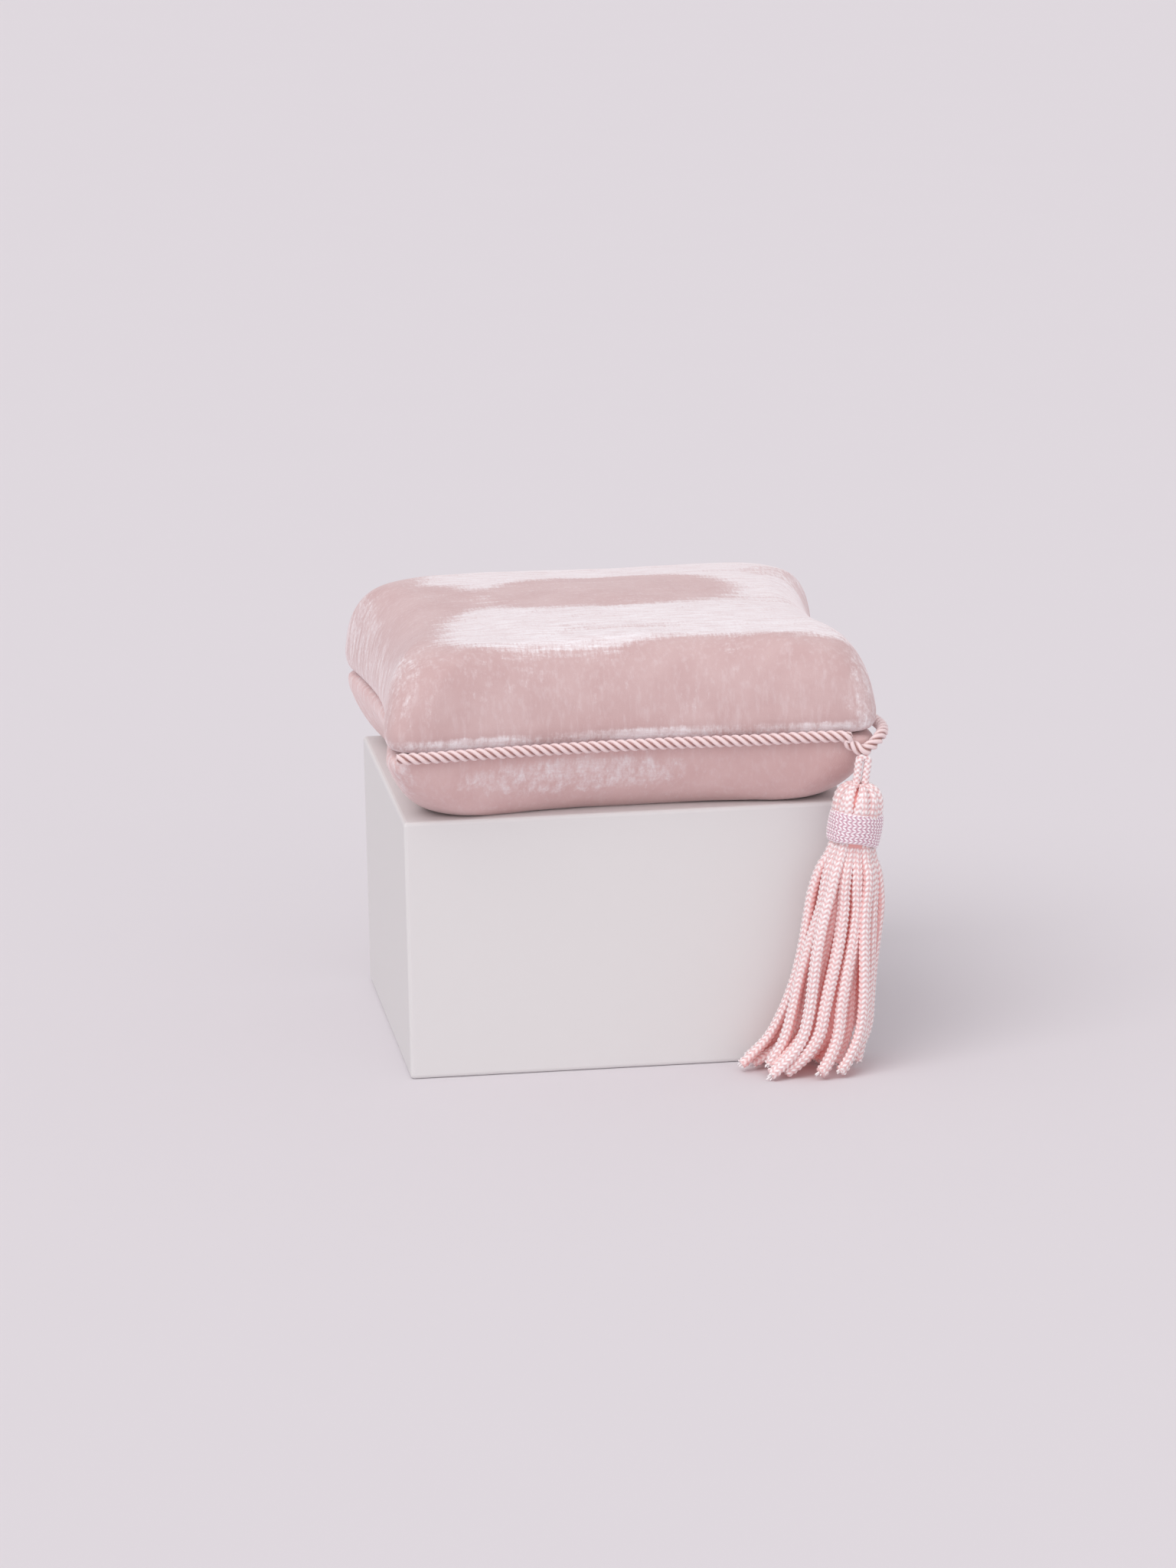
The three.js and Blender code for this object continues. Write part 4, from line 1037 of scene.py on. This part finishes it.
def polyester_wadding():
    """Polyester wadding: a loft of crimped white fibres, soft and matt, which shows as tangled relief."""
    material, tree, shader = start_material("polyester_wadding", Sheen_Weight=0.4, Sheen_Roughness=0.6)
    where = add_node(tree, COORDS, "Object", {})
    crimp = {"Vector": where, "Scale": 1 / (1.5 * MM), "Detail": 6, "Roughness": 0.75, "Distortion": 1.5}
    fibre = add_node(tree, NOISE, "Fac", crimp)
    share = add_node(tree, RANGE, "Result", {"Value": fibre, "From Min": 0.3, "From Max": 0.7})
    tone = add_node(tree, MIX, 2, {0: share, 6: colour("#e4ded4"), 7: colour("#f8f5ef")}, data_type="RGBA")
    tree.links.new(tone, shader.inputs["Base Color"])
    rough = add_node(tree, RANGE, "Result", {"Value": fibre, "To Min": 0.85, "To Max": 1})
    tree.links.new(rough, shader.inputs["Roughness"])
    bump = add_node(tree, BUMP, "Normal", {"Height": fibre, "Strength": 0.6, "Distance": 0.4 * MM})
    tree.links.new(bump, shader.inputs["Normal"])
    return material


def rolled_metal(name, base, worn, grain_mm, rough):
    """Rolled and tumbled metal: fine grain along its length and rubbed patches that are a little duller,
    so that its reflections break up as on a cheap pressed hinge."""
    material, tree, shader = start_material(name, Metallic=1.0)
    where = add_node(tree, COORDS, "Object", {})
    rub = add_node(tree, NOISE, "Fac", {"Vector": where, "Scale": 1 / (4 * MM), "Detail": 3})
    some = {"Value": rub, "From Min": 0.4, "From Max": 0.7, "To Max": 0.6}
    share = add_node(tree, RANGE, "Result", some)
    tone = add_node(tree, MIX, 2, {0: share, 6: colour(base), 7: colour(worn)}, data_type="RGBA")
    tree.links.new(tone, shader.inputs["Base Color"])
    stretch = per_mm(grain_mm * 20, grain_mm, grain_mm)
    rolled = add_node(tree, MAPPING, "Vector", {"Vector": where, "Scale": stretch})
    grain = add_node(tree, NOISE, "Fac", {"Vector": rolled, "Scale": 1, "Detail": 4, "Roughness": 0.6})
    span = {"Value": grain, "From Min": 0.2, "From Max": 0.8, "To Min": rough - 0.07, "To Max": rough + 0.12}
    dull = add_node(tree, RANGE, "Result", span)
    tree.links.new(dull, shader.inputs["Roughness"])
    bump = add_node(tree, BUMP, "Normal", {"Height": grain, "Strength": 0.15, "Distance": 0.02 * MM})
    tree.links.new(bump, shader.inputs["Normal"])
    return material


def plain_paint(name, code, rough):
    """Matt paper or card for the stage, with a faint cloudiness."""
    material, tree, shader = start_material(name, Specular_IOR_Level=0.2, Roughness=rough)
    where = add_node(tree, COORDS, "Object", {})
    grain = add_node(tree, NOISE, "Fac", {"Vector": where, "Scale": 1 / (40 * MM)})
    share = add_node(tree, MATH, 0, {0: grain, 1: 0.04}, operation="MULTIPLY")
    tone = add_node(tree, MIX, 2, {0: share, 6: colour(code), 7: colour("#c9c4c8")}, data_type="RGBA")
    tree.links.new(tone, shader.inputs["Base Color"])
    return material


# ---- stage and light ----------------------------------------------------------------------------
def make_stage():
    """A wide pale floor under the tassel's ends and a plain block that the box rests on."""
    paper = plain_paint("floor_paper", "#dcd7db", 0.9)
    card = plain_paint("block_card", "#dedbdb", 0.8)
    bm = bmesh.new()
    bmesh.ops.create_grid(bm, x_segments=1, y_segments=1, size=FLOOR_SIZE)
    bmesh.ops.translate(bm, verts=bm.verts, vec=(0, FLOOR_SIZE / 2, GROUND * MM))
    floor = bpy.data.meshes.new("floor")
    bm.to_mesh(floor)
    bm.free()
    floor.materials.append(paper)
    new_object("floor", floor)
    bm = bmesh.new()
    size = Vector((*BLOCK_SIZE, -GROUND)) * MM
    place = Matrix.Translation(Vector((*BLOCK_MIDDLE, GROUND / 2)) * MM)
    bmesh.ops.create_cube(bm, size=1, matrix=place @ Matrix.Diagonal((*size, 1)))
    edges = list(bm.edges)
    bmesh.ops.bevel(bm, geom=edges, offset=0.8 * MM, segments=3, profile=0.5, affect="EDGES", material=-1)
    block = bpy.data.meshes.new("block")
    bm.to_mesh(block)
    bm.free()
    block.materials.append(card)
    new_object("block", block)


def make_light():
    """Soft daylight from the upper left and front, and a pale room all round."""
    scene = bpy.context.scene
    scene.view_settings.view_transform = "Standard"
    world = bpy.data.worlds.new("room")
    world.use_nodes = True
    back = world.node_tree.nodes["Background"]
    back.inputs["Color"].default_value = colour("#f6f3f6")
    back.inputs["Strength"].default_value = 0.79
    scene.world = world
    for name, strength, angle, direction in (
        ("window", 1.15, 45, (0.55, 0.62, -1.0)),
        ("fill", 0.5, 70, (-0.1, 1.0, -0.06)),
    ):
        data = bpy.data.lights.new(name, "SUN")
        data.energy = strength
        data.angle = math.radians(angle)
        lamp = bpy.data.objects.new(name, data)
        lamp.rotation_euler = Vector(direction).to_track_quat("-Z", "Y").to_euler()
        scene.collection.objects.link(lamp)


# ---- the whole box ------------------------------------------------------------------------------
make_camera()
# Rayon colours in order: painted glow on the flanks, painted shade in the hollows, the body, painted
# highlight on the tops.
skirt_rayon = rayon("chainette_rayon", "#efaaa6", "#e4b4b3", "#eed9da", "#fffbfb")
make_skirt(skirt_rayon)
make_loop(skirt_rayon)
make_head(skirt_rayon)
make_band(rayon("band_rayon", "#c996a9", "#c996a9", "#e0c8d1", "#fffafd"))
make_trim_cord(rayon("twisted_rayon", "#b98d8a", "#a2736c", "#b9928f", "#efd8d8"))
velvet_blush = silk_velvet("blush_velvet", "#c9aaa9", "#d0b4b3", "#f5f0f3")
# A lighter copy of the blush velvet for the base: painted light, standing in for light that reaches its lower
# faces.
velvet_base_painted_lighter = silk_velvet("base_velvet_blush_painted_lighter", "#d6b3b1", "#dcbcba", "#efe6e8")
satin_blush = woven_satin()
make_shells({"lid": velvet_blush, "base": velvet_base_painted_lighter}, satin_blush)
make_bed(silk_velvet("roll_velvet", "#d2a9a6", "#dab6b3", "#efe0df"))
make_lid_pad(satin_blush)
brass_plate = rolled_metal("brass_plate", "#c9a765", "#b8955a", 0.15, 0.3)
nickelled_steel = rolled_metal("nickelled_steel", "#b9b7b4", "#9f9d9b", 0.12, 0.28)
make_pin(nickelled_steel)
make_rivets(brass_plate)

board_card = grey_board()
wadding_white = polyester_wadding()
CARRIED_OVER = {
    "base_wadding": ("wadding", wadding_white),
    "lid_wadding": ("wadding", wadding_white),
    "base_board": ("board", board_card),
    "lid_board": ("board", board_card),
    "ring_bed_board": ("board", board_card),
    "base_magnet": ("steel", nickelled_steel),
    "lid_magnet": ("steel", nickelled_steel),
    "base_hinge_leaf": ("brass", brass_plate),
    "lid_hinge_leaf": ("brass", brass_plate),
}
for node_name, (slot_name, finish) in CARRIED_OVER.items():
    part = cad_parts[node_name]
    part.data.materials.clear()
    part.data.materials.append(finish)

make_stage()
make_light()
